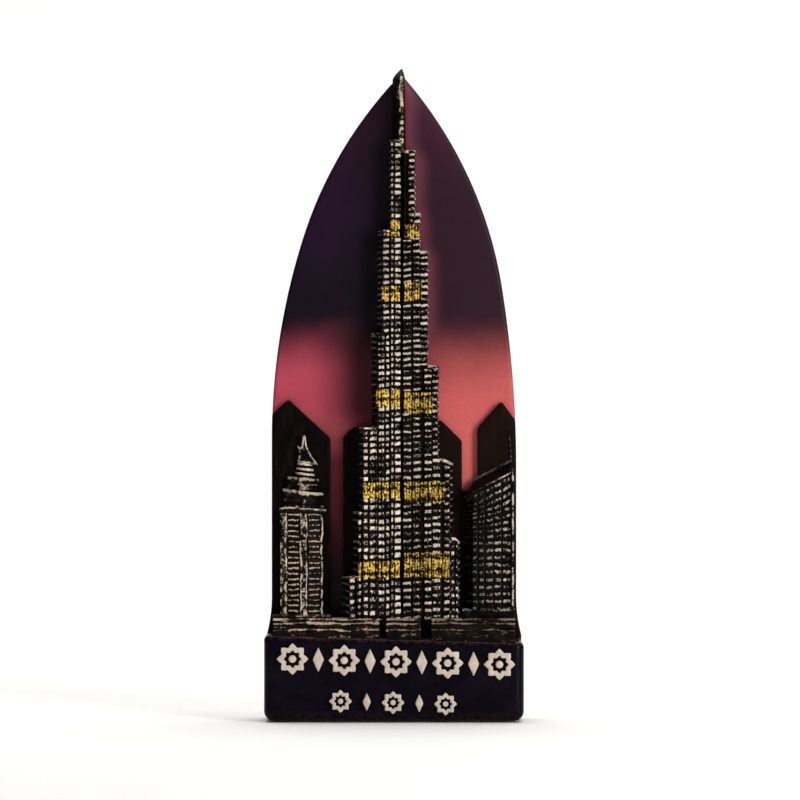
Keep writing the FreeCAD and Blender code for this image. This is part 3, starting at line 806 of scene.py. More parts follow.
def build_bay(side, number):
    """One bay of a wing: front between its two walls, nose and outer wall."""
    name = "tower_%s_bay_%d" % (SIDE_NAMES[side], number)
    top = node_box(name)[1][2]
    foot, _, drop = BAYS[side][number - 1]
    inner_foot = BAYS[side][number - 2][0] if number > 1 else 0.0
    next_top = 0.0
    if number < BAY_COUNT:
        next_top = node_box("tower_%s_bay_%d" % (SIDE_NAMES[side], number + 1))[1][2]
    levels = np.r_[np.arange(TOWER_FOOT - 0.4, top - 0.4, 0.12), np.linspace(top - 0.4, top, 8)]
    outlines, fronts = bay_plan(side, number, levels)

    def across(x):
        return (np.abs(x - VALLEY_X) - inner_foot) / (foot - inner_foot)

    def surface(x, z, along):
        depth, raised, tone, gold = wing_front(side, np.abs(x - VALLEY_X), z)
        wall = wall_ribs(side, along - along[:, fronts][:, None], z)
        shown = smooth(next_top - 0.3, next_top + 0.2, z)
        on_wall = (np.arange(x.shape[1]) > fronts)[None, :] & np.ones(x.shape, bool)
        depth = np.where(on_wall, wall[0] * shown - 0.05 * (1 - shown), depth)
        raised = np.where(on_wall, wall[1], raised)
        tone = np.where(on_wall, wall[2], tone)
        gold = np.where(on_wall, 0.0, gold)
        thick, even, bright = LEDGE[side]
        ledge = smooth(top - thick, top - thick + 0.16, z + drop * across(x))
        worn = even + 0.3 * noise(x, z, 0.7, 81) + 0.2 * noise(x, z, 0.3, 82)
        return depth * (1 - ledge), np.maximum(raised, ledge * worn), \
            np.maximum(tone, ledge * bright), gold

    # The top slopes by its drop, and the last levels below it are squeezed to follow.
    tipped = 1.6
    base = top - tipped
    z = level_rows(outlines, levels)
    line = top - drop * np.clip(across(outlines[..., 0]), 0, 1)
    z = np.where(z > base, base + (z - base) * (line - base) / tipped, z)
    return ribbed_body(name + "_painted", outlines, levels, surface, z)


# The needle's section at its foot, as x from the apex line and height over the plate.
NEEDLE_SECTION = ((-1.5, -0.3), (-1.5, 0.15), (-1.1, 1.2), (-0.45, 2.45), (0.0, 2.6), (0.4, 2.4),
                  (0.68, 1.2), (0.7, 0.15), (0.7, -0.3))
NEEDLE_TIP = 1.7
BEADS = (89.3, 93.6)
BEAD_PITCH = 0.94


def build_needle():
    """The needle: a slim ridge, beaded below and smooth above, with a blunt tip."""
    low, high = node_box("tower_needle")
    tip_foot = high[2] - NEEDLE_TIP
    levels = np.r_[np.arange(low[2] - 0.4, tip_foot, 0.12),
                   np.linspace(tip_foot, high[2] - 0.02, 20)]
    across, proud = polyline(NEEDLE_SECTION, 0.1).T
    front = smooth(0.8, 2.0, proud)
    ridge = smooth(-0.35, -0.1, across) * (1 - smooth(0.35, 0.5, across)) * front
    rows = []
    raised = []
    for level in levels:
        z = np.full(len(across), level)
        scale = 1 - 0.16 * (level - low[2]) / (high[2] - low[2])
        rise = max(0.0, (level - tip_foot) / NEEDLE_TIP)
        tip = 1 - rise ** 1.6
        beads = 1.0
        if BEADS[0] < level < BEADS[1]:
            beads = np.abs(np.sin(math.pi * (level - BEADS[0]) / BEAD_PITCH)) ** 0.7
        swell = 0.10 * noise(z, across * 2, 0.9, 91)
        d = proud * scale * (0.3 + 0.7 * tip) + front * (swell - 0.28 * (1 - beads))
        x = APEX_X + across * scale * (0.12 + 0.88 * tip) + 0.12 * rise
        x = x + 0.08 * noise(across, z, 1.2, 92)
        rows.append(np.column_stack([x, PLATE_FACE - d, z]))
        blotch = smooth(0.1, 0.5, noise(across * 1.2, z, 1.1, 93)) * (across < 0) * front
        worn = 0.55 + 0.45 * noise(across, z, 0.8, 94)
        raised.append(ridge * beads * worn * 1.1 + 0.5 * blotch)
    gold = 0.45 * smooth(0.0, 0.35, across) * front
    return brushed_skin("needle", rows, raised, 0.8, gold)


def brushed_finish(name, silver_scale=1.0, brown=0.35, dull="#a9a7a2", warmth=0.0):
    """Silver dry-brushed over a black-brown wash: bright ribs, dark grooves, gold where it is
    asked for. silver_scale is how heavily it is brushed, brown how much the wash turns brown,
    dull the silver of the low tones, warmth how far the bright tones go to old brass."""
    material, tree, where = new_material(name)
    streaks = grain(tree, where, 0.35, 4.0, 0.6)
    patches = grain(tree, where, 2.6, 2.0)
    raised = field(tree, "raised")
    tone = field(tree, "tone")
    loaded = maths(tree, "ADD", raised, fade(tree, streaks, 0.3, 0.7, -0.34, 0.14))
    covered = fade(tree, loaded, 0.36, 0.8)
    silver = times(tree, covered, times(tree, tone, silver_scale))
    silver = times(tree, silver, fade(tree, patches, 0.3, 0.7, 0.78, 1.05))
    wash = blend(tree, fade(tree, patches, 0.35, 0.7, 0.0, brown), "wash", "#2e1a0e")
    bright = blend(tree, fade(tree, patches, 0.25, 0.75, 0.6 * warmth, warmth), "silver",
                   "#c9a877")
    metal = blend(tree, fade(tree, tone, 0.5, 0.9), dull, bright)
    specks = fade(tree, grain(tree, where, 0.18, 3.0, 0.6), 0.45, 0.68, 0.0, 0.5)
    metal = blend(tree, specks, metal, "#6b543f")
    base = blend(tree, silver, wash, metal)
    gilt = times(tree, field(tree, "gold"), fade(tree, loaded, 0.2, 0.62))
    gold = blend(tree, fade(tree, streaks, 0.38, 0.6), "#6b500f", "gold")
    colour = blend(tree, times(tree, gilt, fade(tree, tone, 0.5, 1.0, 0.8, 1.0)), base, gold)
    shine = maths(tree, "MAXIMUM", times(tree, silver, 0.1), times(tree, gilt, 0.12))
    finish(tree, {"Base Color": colour, "Metallic": shine,
                  "Roughness": fade(tree, streaks, 0.2, 0.8, 0.34, 0.55),
                  "Specular IOR Level": 0.06,
                  "Normal": bump(tree, streaks, 0.03, 0.6)})
    return material


# -------------------------------------------------------------------------- far blocks
FAR_BLOCK_FOOT = 12.3
# Tops of the outer far blocks where they meet the plate's edge.
FAR_LEFT_TOP = 46.8
FAR_RIGHT_TOP = 45.9
# Rows of a far block round its front edge that the coral line covers, partly overspray and partly
# a painted edge highlight.
RIM_ROWS = slice(1, 6)


def plate_edge_path(side, top, inset):
    """The plate's edge from the far blocks' foot up to a height, pulled in a little."""
    rise = np.linspace(FAR_BLOCK_FOOT, top, 60)
    return np.column_stack([plate_sides(rise)[side] + inset, rise])


def build_far_blocks():
    """The three flat far blocks behind the tower, with softly rounded front edges."""
    foot = FAR_BLOCK_FOOT
    left = np.vstack([[(-9.78, foot), (-9.78, 43.1), (-16.25, 49.1)],
                      plate_edge_path(0, FAR_LEFT_TOP, 0.03)[::-1]])
    right = np.vstack([plate_edge_path(1, FAR_RIGHT_TOP, -0.03),
                       [(16.55, 48.8), (12.85, 44.7), (12.85, 35.0), (10.3, 35.0), (10.3, foot)]])
    centre = [(-7.84, foot), (10.46, foot), (10.46, 42.7), (7.26, 45.9), (1.2, 45.4),
              (-6.39, 44.75), (-7.84, 43.3)]
    made = []
    for name, corners, hidden, seed in (("far_block_left", left, 2.0, 5),
                                        ("far_block_centre", centre, 0.3, 6),
                                        ("far_block_right", right, 2.0, 7)):
        loop = rounded_path(corners, 0.35, 0.3)
        rows = slab_rows(loop, PLATE_FACE + hidden, PANEL_FACE, size("panel_edge"))
        bulge = lumps(rows, 6.0, seed) * 0.06 + lumps(rows, 1.6, seed) * 0.03
        rows[EDGE_START + 1:, :, 1] += bulge[EDGE_START + 1:] + 0.09
        rim = np.zeros(rows.shape[:2])
        rim[RIM_ROWS] = 1.0
        made.append((skin(name + "_painted", rows, {"rim": rim}), name))
    return made


def far_block_paint():
    """Brown-black matt paint with brush drag, and a thin coral line round the front edge that is
    partly overspray and partly a painted edge highlight."""
    material, tree, where = new_material("brown-black brushed enamel")
    streaks = grain(tree, stretched(tree, where, 0.22), 0.7, 4.0, 0.6)
    patches = grain(tree, where, 4.0, 2.0)
    # Darker to the left: painted shade on the side away from the key light.
    ground = blend(tree, fade(tree, axes_of(tree, where)["X"], -9, 9), "#060303", "far_blocks")
    colour = blend(tree, fade(tree, streaks, 0.4, 0.75, 0.0, 0.45), ground, "#22150f")
    colour = blend(tree, fade(tree, patches, 0.5, 0.75, 0.0, 0.5), colour, "#0c0707")
    # The coral line round the front edge: partly overspray, partly a painted edge highlight.
    worn = times(tree, field(tree, "rim"), fade(tree, streaks, 0.45, 0.75, 0.0, 0.4))
    colour = blend(tree, worn, colour, "#7c434a")
    finish(tree, {"Base Color": colour, "Roughness": fade(tree, streaks, 0.2, 0.8, 0.4, 0.6),
                  "Specular IOR Level": 0.04,
                  "Normal": bump(tree, streaks, 0.04, 0.5)})
    return material


# -------------------------------------------------------------------------- plinth and podium
PLINTH_CORNER = 1.61
PLINTH_EDGE = 0.9
PLINTH_FOOT_EDGE = 1.5
# Height of the plinth's top at its left and right end.
PLINTH_TOPS = (13.2, 12.1)


def build_plinth():
    """The rounded plinth, whose top falls a little to the right."""
    half_x = (PLINTH_HIGH[0] - PLINTH_LOW[0]) / 2
    front, back = PLINTH_LOW[1], PLINTH_HIGH[1]
    base = rounded_path([(-half_x, back), (-half_x, front), (half_x, front), (half_x, back)],
                        PLINTH_CORNER, 0.35)
    into = inward(base)
    rows = []
    rims = []

    def add_row(ring, share, offset, rim):
        """A loop at a share of the plinth's height, moved by an offset."""
        top = np.interp(ring[:, 0], (-half_x, half_x), PLINTH_TOPS)
        rows.append(np.column_stack([ring, share * top + offset]))
        rims.append(np.full(len(ring), rim))

    for shrink in (0.05, 0.3, 0.6):
        add_row(base * shrink, 0.0, 0.0, 0.0)
    for turn in np.linspace(0, QUARTER, 6):
        add_row(base + into * PLINTH_FOOT_EDGE * (1 - math.sin(turn)), 0.0,
                PLINTH_FOOT_EDGE * (1 - math.cos(turn)), 0.5 * math.cos(turn))
    for share in np.linspace(0.13, 0.92, 40):
        add_row(base, share, 0.0, 0.0)
    for turn in np.linspace(0, QUARTER, 7):
        add_row(base + into * PLINTH_EDGE * (1 - math.cos(turn)), 1.0,
                -PLINTH_EDGE * (1 - math.sin(turn)), math.sin(turn))
    for shrink in (0.9, 0.7, 0.45, 0.2):
        add_row((base + into * PLINTH_EDGE) * shrink, 1.0, 0.0, 0.3)
    rows = np.array(rows)
    drift = 0.07 * lumps(rows, 4.5, 101) + 0.03 * lumps(rows, 1.5, 102)
    facing = np.sign(rows[..., 1]) * smooth(4.0, 5.5, np.abs(rows[..., 1]))
    rows[..., 1] -= facing * (0.1 + drift)
    return skin("plinth_painted", rows, {"rim": rims})


def plinth_enamel():
    """Purple-black gloss enamel, thin along the upper edge where brown shows through."""
    material, tree, where = new_material("purple-black gloss enamel")
    patches = grain(tree, where, 5.0, 3.0)
    fine = grain(tree, where, 0.5, 4.0, 0.6)
    colour = blend(tree, fade(tree, patches, 0.35, 0.7, 0.0, 0.7), "plinth", "#040206")
    worn = times(tree, field(tree, "rim"), fade(tree, fine, 0.4, 0.65, 0.0, 0.8))
    colour = blend(tree, worn, colour, "#4a3326")
    finish(tree, {"Base Color": colour, "Roughness": fade(tree, patches, 0.2, 0.8, 0.2, 0.32),
                  "Specular IOR Level": 0.06,
                  "Normal": bump(tree, fine, 0.03, 0.4)})
    return material


# Levels of the podium's two lower steps.
PODIUM_STEPS = (14.05, 15.0)


def build_podium(name, seed):
    """One stepped slab of the podium, with worn, uneven ledges."""
    low, high = node_box(name)
    top = high[2]
    deep = high[1] - low[1]
    first, second = PODIUM_STEPS
    profile = polyline([(low[1] + y, z) for y, z in (
        (0.0, top - 3.6), (0.0, first - 0.12), (0.12, first), (0.35, 14.06), (0.37, second - 0.12),
        (0.5, second), (0.7, 15.02), (0.72, top - 0.14), (0.88, top), (2.2, top), (deep, top),
        (deep, top - 3.6))], 0.12)
    rows = drawn_rows(np.linspace(low[0], high[0], max(24, int((high[0] - low[0]) / 0.16))),
                      profile)
    wobble = lumps(rows, 1.3, seed, tall=2) + 0.6 * lumps(rows, 0.5, seed + 1, tall=3)
    face = (rows[..., 1] < low[1] + 1.2) & (rows[..., 2] > top - 3.0)
    rows[..., 1] += np.where(face, 0.14 + 0.13 * wobble, 0)
    sag = 0.14 * noise(rows[..., 0], rows[..., 1], 1.5, seed + 2) - 0.12
    rows[..., 2] += np.where(face, sag, 0)
    edges = np.zeros(len(profile))
    for level in (*PODIUM_STEPS, top):
        edges = np.maximum(edges, 1 - smooth(0.02, 0.24, np.abs(profile[:, 1] - level)))
    broken = 0.62 + 0.45 * lumps(rows, 1.4, seed + 3) + 0.2 * lumps(rows, 0.4, seed + 5)
    raised = edges[None, :] * broken
    raised = raised + 0.5 * smooth(0.2, 0.55, lumps(rows, 0.7, seed + 4, 0.5, 2.4))
    raised[[0, -1]] *= 0.4
    return brushed_skin(name, rows, raised, np.interp(rows[..., 0], (-16, 16), (0.8, 0.52)))


# -------------------------------------------------------------------------- side blocks
LEFT_AXIS = -14.01
LEFT_PLAN = ((-17.47, 1.5), (-17.47, -1.1), (-14.55, -2.42), (-13.47, -2.42), (-10.55, -1.1),
             (-10.55, 1.5))
# Depth on the left block's axis that its half-round parts are turned about.
LEFT_CENTRE_Y = 1.1
PILASTERS = ((-17.6, -16.5), (-14.4, -13.25), (-11.15, -10.85))


def window_wall(columns, share, pitch, phase, seed, uneven, drag):
    """A surface for ribbed_body from window columns given as start, end and tone. share is how
    much of a floor is raised, phase shifts the floors, uneven is how much the bars differ from
    floor to floor, and drag is how much upright brush strokes break them up."""
    gap = 0.42
    groove = 0.32

    def surface(x, z, along):
        warped = x + 0.06 * noise(x * 2, z, 1.0, seed)
        wander = 0.09 * noise(x, z, 1.2, seed + 1) + 0.07 * noise(x, z, 0.5, seed + 6)
        beat = (z + wander) / pitch + phase + 40

        def column(key, start, end, tone):
            bar, height = floor_bars(beat, share, key, seed + 2)
            return pulse(warped, start, end, 0.07), bar, 1 - uneven * (1 - height), tone

        across, bars, level, tone = strongest(
            x.shape, (column(key, *row) for key, row in enumerate(columns)))
        strokes = 1 - drag + drag * noise(x, z * 0.5, 0.26, seed + 5)
        bars = bars * level * strokes
        depth = gap * (1 - across) + groove * across * (1 - bars)
        return depth, across * bars, tone, np.zeros_like(x)
    return surface


def left_shaft():
    """The left block's shaft: two window columns between mottled pilasters."""
    low, high = node_box("left_block_shaft")
    levels = np.r_[np.arange(low[2] - 0.3, high[2], 0.12), high[2] + 0.1]
    path = polyline(LEFT_PLAN, 0.09)
    wall = window_wall(((-16.3, -14.66, 0.92), (-13.05, -11.3, 0.7)), 0.46, 0.82, 0.0, 121,
                       0.55, 0.12)

    def shaft(x, z, along):
        depth, raised, tone, gold = wall(x, z, along)
        mottle = 0.5 * noise(x, z, 0.8, 131) + 0.7 * noise(x, z * 0.7, 0.3, 132)
        moved = x + 0.10 * noise(x * 0, z, 1.3, 133) + 0.06 * noise(x * 0, z, 0.5, 134)
        for start, end in PILASTERS:
            pilaster = pulse(moved, start, end, 0.07)
            rim = pilaster * smooth(0.34, 0.1, np.minimum(moved - start, end - moved))
            depth = mix(depth, 0.10 - 0.09 * mottle, pilaster)
            worn = np.clip(0.46 + 0.4 * mottle + 0.3 * rim, 0, 1)
            raised = np.where(pilaster > 0.5, worn, raised)
            tone = np.where(pilaster > 0.5, 0.85, tone)
        return depth, raised, tone, gold

    outlines = np.tile(path, (len(levels), 1, 1))
    return ribbed_body("left_block_shaft_painted", outlines, levels, shaft)


def ledge_slab(node, seed):
    """A thin, worn slab with rounded edges."""
    low, high = node_box(node)
    profile = polyline([(SLAB_END, low[2] - 0.2), (low[1], low[2] - 0.2),
                        (low[1], high[2] - 0.12), (low[1] + 0.14, high[2]),
                        (low[1] + 1.4, high[2]), (SLAB_END, high[2])], 0.13)
    rows = drawn_rows(np.linspace(low[0], high[0], max(20, int((high[0] - low[0]) / 0.18))),
                      profile)
    face = rows[..., 1] < low[1] + 1.0
    wobble = lumps(rows, 1.2, seed, tall=2) + 0.7 * lumps(rows, 0.45, seed + 1, tall=2)
    rows[..., 1] += np.where(face, 0.14 + 0.12 * wobble, 0)
    sag = 0.12 * noise(rows[..., 0], rows[..., 1], 1.1, seed + 2) - 0.1
    rows[..., 2] += np.where(face & (rows[..., 2] > low[2]), sag, 0)
    near_top = 1 - smooth(0.05, 0.45, np.abs(profile[:, 1] - high[2]))
    return brushed_skin(node, rows, near_top * (0.6 + 0.4 * lumps(rows, 1.3, seed + 3)), 0.65)


def cornice(node, seed):
    """The shaft's plan with an overhang, rounded above and below."""
    low, high = node_box(node)
    grow = 0.2
    plan = [(x + math.copysign(grow, x - LEFT_AXIS), y - grow if y < 1 else y)
            for x, y in LEFT_PLAN]
    path = polyline(plan, 0.12)
    middle = np.array([LEFT_AXIS, 0.6])
    rows = []
    raised = []
    for turn in np.linspace(-QUARTER, QUARTER, 12):
        shape = middle + (path - middle) * (1 - 0.132 * (1 - math.cos(turn)))
        z = (low[2] + high[2]) / 2 + (high[2] - low[2]) / 2 * math.sin(turn)
        sag = 0.13 * noise(shape[:, 0], shape[:, 0] * 0, 1.6, seed)
        rows.append(np.column_stack([shape, z + sag - 0.05 * (shape[:, 0] - LEFT_AXIS)]))
        raised.append(np.full(len(shape), 0.12 + 0.72 * smooth(-0.2, 0.8, math.sin(turn))))
    rows = np.array(rows)
    return brushed_skin(node, rows, np.array(raised) + 0.3 * lumps(rows, 0.6, seed + 1), 0.85)


def half_round(x, y, z):
    """An arc round the front of the left block, closed by two points inside the plate."""
    ends = [(x[-1], INSIDE_PLATE, z[-1]), (x[0], INSIDE_PLATE, z[0])]
    return np.vstack([np.column_stack([x, y, z]), ends])


# A drum from foot to rim: reach as a share of its radius, height as a share of its own, and how
# much of the dry brush it catches.
DRUM_PROFILE = (
    (1.0, 0.0, 0.3), (1.0, 0.12, 0.4), (0.985, 0.2, 0.2), (0.93, 0.26, 0.05), (0.93, 0.4, 0.1),
    (0.965, 0.46, 0.4), (0.93, 0.52, 0.1), (0.93, 0.66, 0.05), (0.96, 0.72, 0.15),
    (0.995, 0.8, 0.5), (1.0, 0.9, 0.95), (0.985, 0.97, 0.8), (0.93, 1.0, 0.3), (0.6, 1.0, 0.1),
)


def drum(node, radius, tone, seed):
    """A half drum with a worn rim that dips a little to the right."""
    low, high = node_box(node)
    turns = np.linspace(0, math.pi, 60)
    rows = []
    for reach, share, _ in DRUM_PROFILE:
        x = LEFT_AXIS + radius * reach * np.cos(turns)
        y = LEFT_CENTRE_Y - radius * 0.97 * reach * np.sin(turns)
        z = low[2] + (high[2] - low[2]) * share - 0.12 * (x - LEFT_AXIS) * share
        rows.append(half_round(x, y, z + 0.15 * share * noise(x, y, 1.5, seed)))
    rows = np.array(rows)
    raised = np.array([shine for *_, shine in DRUM_PROFILE])[:, None]
    raised = raised * (0.85 + 0.6 * lumps(rows, 1.2, seed + 1))
    raised = raised + 0.3 * lumps(rows, 0.6, seed + 2, 1.5, 2)
    mottle = smooth(0.1, 0.5, lumps(rows, 0.55, seed + 3)) * (rows[..., 0] < LEFT_AXIS + 1)
    return brushed_skin(node, rows, raised + 0.5 * mottle, tone)


def rings(node):
    """Three thin rings on a core, stepping in as they rise."""
    low, _ = node_box(node)
    turns = np.linspace(0, math.pi, 44)
    profile = [(1.1, 0.0, 0.1), (1.1, 0.3, 0.1)]
    for index in range(3):
        foot = 0.35 + 0.75 * index
        reach = 1.48 - 0.16 * index
        core = 1.08 - 0.1 * index
        profile += [(reach * 0.96, foot, 0.6), (reach, foot + 0.1, 0.95),
                    (reach, foot + 0.28, 0.95), (reach * 0.95, foot + 0.38, 0.7),
                    (core, foot + 0.42, 0.1), (core - 0.06, foot + 0.68, 0.05)]
    rows = []
    for reach, up, _ in profile:
        x = LEFT_AXIS + 0.3 + reach * np.cos(turns)
        y = LEFT_CENTRE_Y - reach * np.sin(turns)
        z = low[2] + up - 0.13 * (x - LEFT_AXIS) + 0.04 * noise(x, y, 0.7, 181)
        rows.append(half_round(x, y, z))
    rows = np.array(rows)
    shine = np.array([value for *_, value in profile])[:, None]
    return brushed_skin(node, rows, shine + 0.3 * lumps(rows, 0.6, 182, 2, 2), 0.85)


# The sail seen from the front: x from the block's axis, and height as a share of its own.
SAIL_SHAPE = ((-0.8, 0.0), (-0.55, 0.43), (-0.95, 0.64), (-0.25, 0.55), (0.0, 1.0), (0.4, 1.0),
              (0.6, 0.62), (1.3, 0.26), (2.4, -0.1), (1.5, -0.06))
# The sail's foot runs this share of the shape's height below its zero.
SAIL_BELOW = 0.12


def sail(node):
    """The sail on top of the left block: a thin curved slab with a bright edge."""
    low, high = node_box(node)
    tall = (high[2] - low[2]) / (1 + SAIL_BELOW)
    foot = low[2] + SAIL_BELOW * tall
    loop = rounded_path([(LEFT_AXIS + x, foot + share * tall) for x, share in SAIL_SHAPE],
                        0.25, 0.12)
    rows = slab_rows(loop, PANEL_FACE + 0.2, low[1], 0.22)
    raised = np.zeros(rows.shape[:2])
    raised[EDGE_START:FACE_START + 1] = 0.75
    raised[FACE_START + 1:] = 0.25
    raised = raised + 0.3 * lumps(rows, 0.6, 171)
    rows[FACE_START + 1:, :, 1] += 0.18
    return brushed_skin(node, rows, raised, 0.8)


def build_left_block():
    """The left block: base, ribbed shaft, cornice, two drums, rings and a sail on top."""
    return [ledge_slab("left_block_base", 111), left_shaft(), cornice("left_block_cornice", 141),
            drum("left_block_lower_drum", 3.15, 0.72, 151),
            drum("left_block_upper_drum", 2.46, 0.66, 161), rings("left_block_rings"),
            sail("left_block_sail")]


# The right block's slanting top: its left and right end and its height at each.
TOP_LEFT_X, TOP_RIGHT_X = 11.85, 18.15
TOP_LEFT_Z, TOP_RIGHT_Z = 34.8, 38.1
TOP_SLOPE = (TOP_RIGHT_Z - TOP_LEFT_Z) / (TOP_RIGHT_X - TOP_LEFT_X)
RIGHT_PITCH = 1.12
RIGHT_PHASE = 0.2
RIGHT_COLUMNS = ((10.6, 11.6, 0.12), (12.05, 12.75, 0.46), (13.0, 13.85, 0.5),
                 (14.1, 15.2, 0.62), (15.36, 16.42, 0.78), (16.66, 17.9, 0.78))


def top_line(x):
    """Height of the right block's slanting top."""
    return TOP_RIGHT_Z + TOP_SLOPE * (x - TOP_RIGHT_X)


def right_body():
    """The right block's body, whose window rows slant with its top in the upper part."""
    low, high = node_box("right_block_body")
    path = polyline([(10.46, INSIDE_PLATE), (10.46, 1.1), (TOP_LEFT_X, low[1]),
                     (TOP_RIGHT_X, low[1]), (TOP_RIGHT_X, INSIDE_PLATE)], 0.1)
    levels = np.r_[np.arange(low[2] - 0.3, high[2] - 0.3, 0.13),
                   np.linspace(high[2] - 0.3, high[2], 6)]
    wall = window_wall(RIGHT_COLUMNS, 0.58, RIGHT_PITCH, RIGHT_PHASE, 221, 0.7, 0.22)

    def body(x, z, along):
        slant = TOP_SLOPE * (x - TOP_RIGHT_X) * smooth(27, 34, z)
        depth, raised, tone, gold = wall(x, z - slant, along)
        crest = smooth(-0.34, -0.16, z - top_line(x))
        worn = smooth(TOP_LEFT_X, TOP_RIGHT_X, x)
        paint_left = 0.42 + 0.35 * worn + 0.3 * noise(x, z, 0.6, 231)
        return depth * (1 - crest), np.maximum(raised, crest * paint_left), \
            np.maximum(tone, crest * (0.6 + 0.3 * worn)), gold

    outlines = np.tile(path, (len(levels), 1, 1))
    z = level_rows(outlines, levels)
    upper = smooth(levels[-1] - 12, levels[-1], z)
    z = z + TOP_SLOPE * (outlines[..., 0] - TOP_RIGHT_X) * upper
    return ribbed_body("right_block_body_painted", outlines, levels, body, z, 0.16)


def right_roof():
    """A wedge that leans back from the slanting top to the far block, and a thin curved fin."""
    rows = []
    raised = []
    for x in np.linspace(TOP_LEFT_X - 0.9, TOP_RIGHT_X, 50):
        foot = top_line(x)
        rise = 1.9 * smooth(TOP_LEFT_X - 0.9, TOP_LEFT_X + 0.4, x)
        y, z = np.vstack([
            [(SLAB_END, foot - 1.0), (-2.1, foot - 1.0)],
            np.linspace((-2.12, foot - 0.06), (1.0, foot + rise - 0.05), 20),
            [(SLAB_END, foot + rise)],
        ]).T
        rows.append(np.column_stack([np.full(len(y), x), y, z]))
        raised.append(smooth(0.0, 0.6, y) * smooth(foot, foot + 1.2, z) * 0.7)
    rows = np.array(rows)
    raised = np.array(raised) + 0.2 * noise(rows[..., 0], rows[..., 1], 1.0, 251)
    wedge = brushed_skin("right_block_roof", rows, raised, 0.55)
    rows = []
    for share in np.linspace(0, 1, 30):
        reach = 0.2 * (1 - 0.6 * share)
        bend = 0.35 * math.sin(share * math.pi * 0.8) - 0.6 * share
        across, deep = circle(12, radius=reach).T
        rows.append(np.column_stack([17.9 + bend + across, 1.05 - 1.3 * deep,
                                     np.full(12, 38.4 + 6.0 * share)]))
    fin = brushed_skin("right_block_roof_fin", rows, 0.5, 0.5)
    return join("right_block_roof_painted", [wedge, fin])


def right_fin():
    """The fin down the block's outer edge: a bright front corner and window rows on its side."""
    low, high = node_box("right_block_fin")
    outline = rounded_path([(low[0] - 0.25, SLAB_END), (low[0] - 0.25, low[1]),
                            (high[0], low[1]), (high[0], SLAB_END)], 0.16, 0.1)
    x, y = outline.T
    rows = []
    for level in np.linspace(low[2] - 0.2, high[2] - 0.02, 130):
        z = np.full(len(x), level)
        swell = 0.07 * noise(x, z, 1.4, 241)
        inset = 0.16 * smooth(high[2] - 0.4, high[2], z)
        rows.append(np.column_stack([x + np.where(y < 1, 0.5 * swell - 0.05, 0),
                                     y + np.where(y < 0, 0.08 + swell + inset, 0), z]))
    rows = np.array(rows)
    x, y, z = np.moveaxis(rows, 2, 0)
    corner = smooth(low[1] + 0.5, low[1] + 0.25, y) * pulse(x, low[0] - 0.1, high[0] - 0.22, 0.12)
    beat = z / RIGHT_PITCH + RIGHT_PHASE + 0.1 * noise(y, z, 0.5, 243)
    bar, height = floor_bars(beat, 0.55, 5, 244)
    flank = sum(pulse(y, start, start + 0.6, 0.08) for start in np.arange(low[1] + 0.7, 1.2, 0.95))
    worn = corner * (0.6 + 0.35 * noise(x, z, 1.2, 242) + 0.25 * noise(x, z, 0.4, 245))
    raised = np.maximum(worn, 0.8 * bar * height * flank)
    return brushed_skin("right_block_fin", rows, raised, 0.5 + 0.4 * corner)


def build_right_block():
    """The right block: base, ribbed body with a slanting top, roof and edge fin."""
    return [ledge_slab("right_block_base", 211), right_body(), right_roof(), right_fin()]


# -------------------------------------------------------------------------- frieze
STAR_POINTS = 8
STAR_WAIST = 0.74
STAR_WINDOW = 0.56
STAR_BOSS = 0.24
# How many degrees the rows fall to the right.
FRIEZE_SLOPE = 1.5
# Label, height on the axis, shift, star radius, number of stars, pitch, and the lozenges' width
# as a share of the gap between two stars.
FRIEZE_ROWS = (
    ("upper", 9.15, 0.3, 2.4, 5, 7.88, 0.56),
    ("lower", 2.92, -0.15, 1.75, 3, 8.0, 0.28),
)


def star_loop(x, z, radius, inset=0.0):
    """An eight-pointed star with softened corners."""
    turns = np.linspace(0, 2 * math.pi, 160, endpoint=False)
    beat = (turns * STAR_POINTS / (2 * math.pi)) % 1
    toward = np.abs(beat - 0.5) * 2
    toward = np.sqrt(toward ** 2 * 0.96 + 0.004)
    reach = radius * (STAR_WAIST + (1 - STAR_WAIST) * toward) - inset
    return np.column_stack([x + reach * np.cos(turns), z + reach * np.sin(turns)])


def raised_piece(name, rows, back, front, edge, seed, ring=False):
    """A raised piece with a slightly uneven front, which the paint sees as its height."""
    soften = 0.04 * lumps(rows, 1.1, seed) + 0.05
    rows[..., 1] += soften * (rows[..., 1] < front + edge)
    height = np.clip((back - rows[..., 1]) / (back - front), 0, 1)
    return skin(name, rows, {"raised": height}, ring)


def raised_band(outer, inner, back, front, edge, seed):
    """A raised band between two outlines, with rounded front edges. Each gives its shape for an
    inset."""
    middle = (back + front) / 2
    rows = [at_depth(outer(0.0), y) for y in (back, middle, front + edge)]
    rows += edge_rows(outer, front, edge, np.linspace(0, QUARTER, 6)[1:])
    start = rows[-1][:, [0, 2]]
    rows += [at_depth(start + (inner(-edge) - start) * share, front) for share in (0.33, 0.66)]
    rows += edge_rows(lambda inset: inner(-inset), front, edge, np.linspace(QUARTER, 0, 6))
    rows += [at_depth(inner(0.0), y) for y in (middle, back)]
    return raised_piece("star", np.array(rows), back, front, edge, seed, ring=True)


def raised_pad(loop, back, front, edge, seed):
    """A solid raised pad with a rounded front edge."""
    return raised_piece("pad", slab_rows(loop, back, front, edge), back, front, edge, seed)


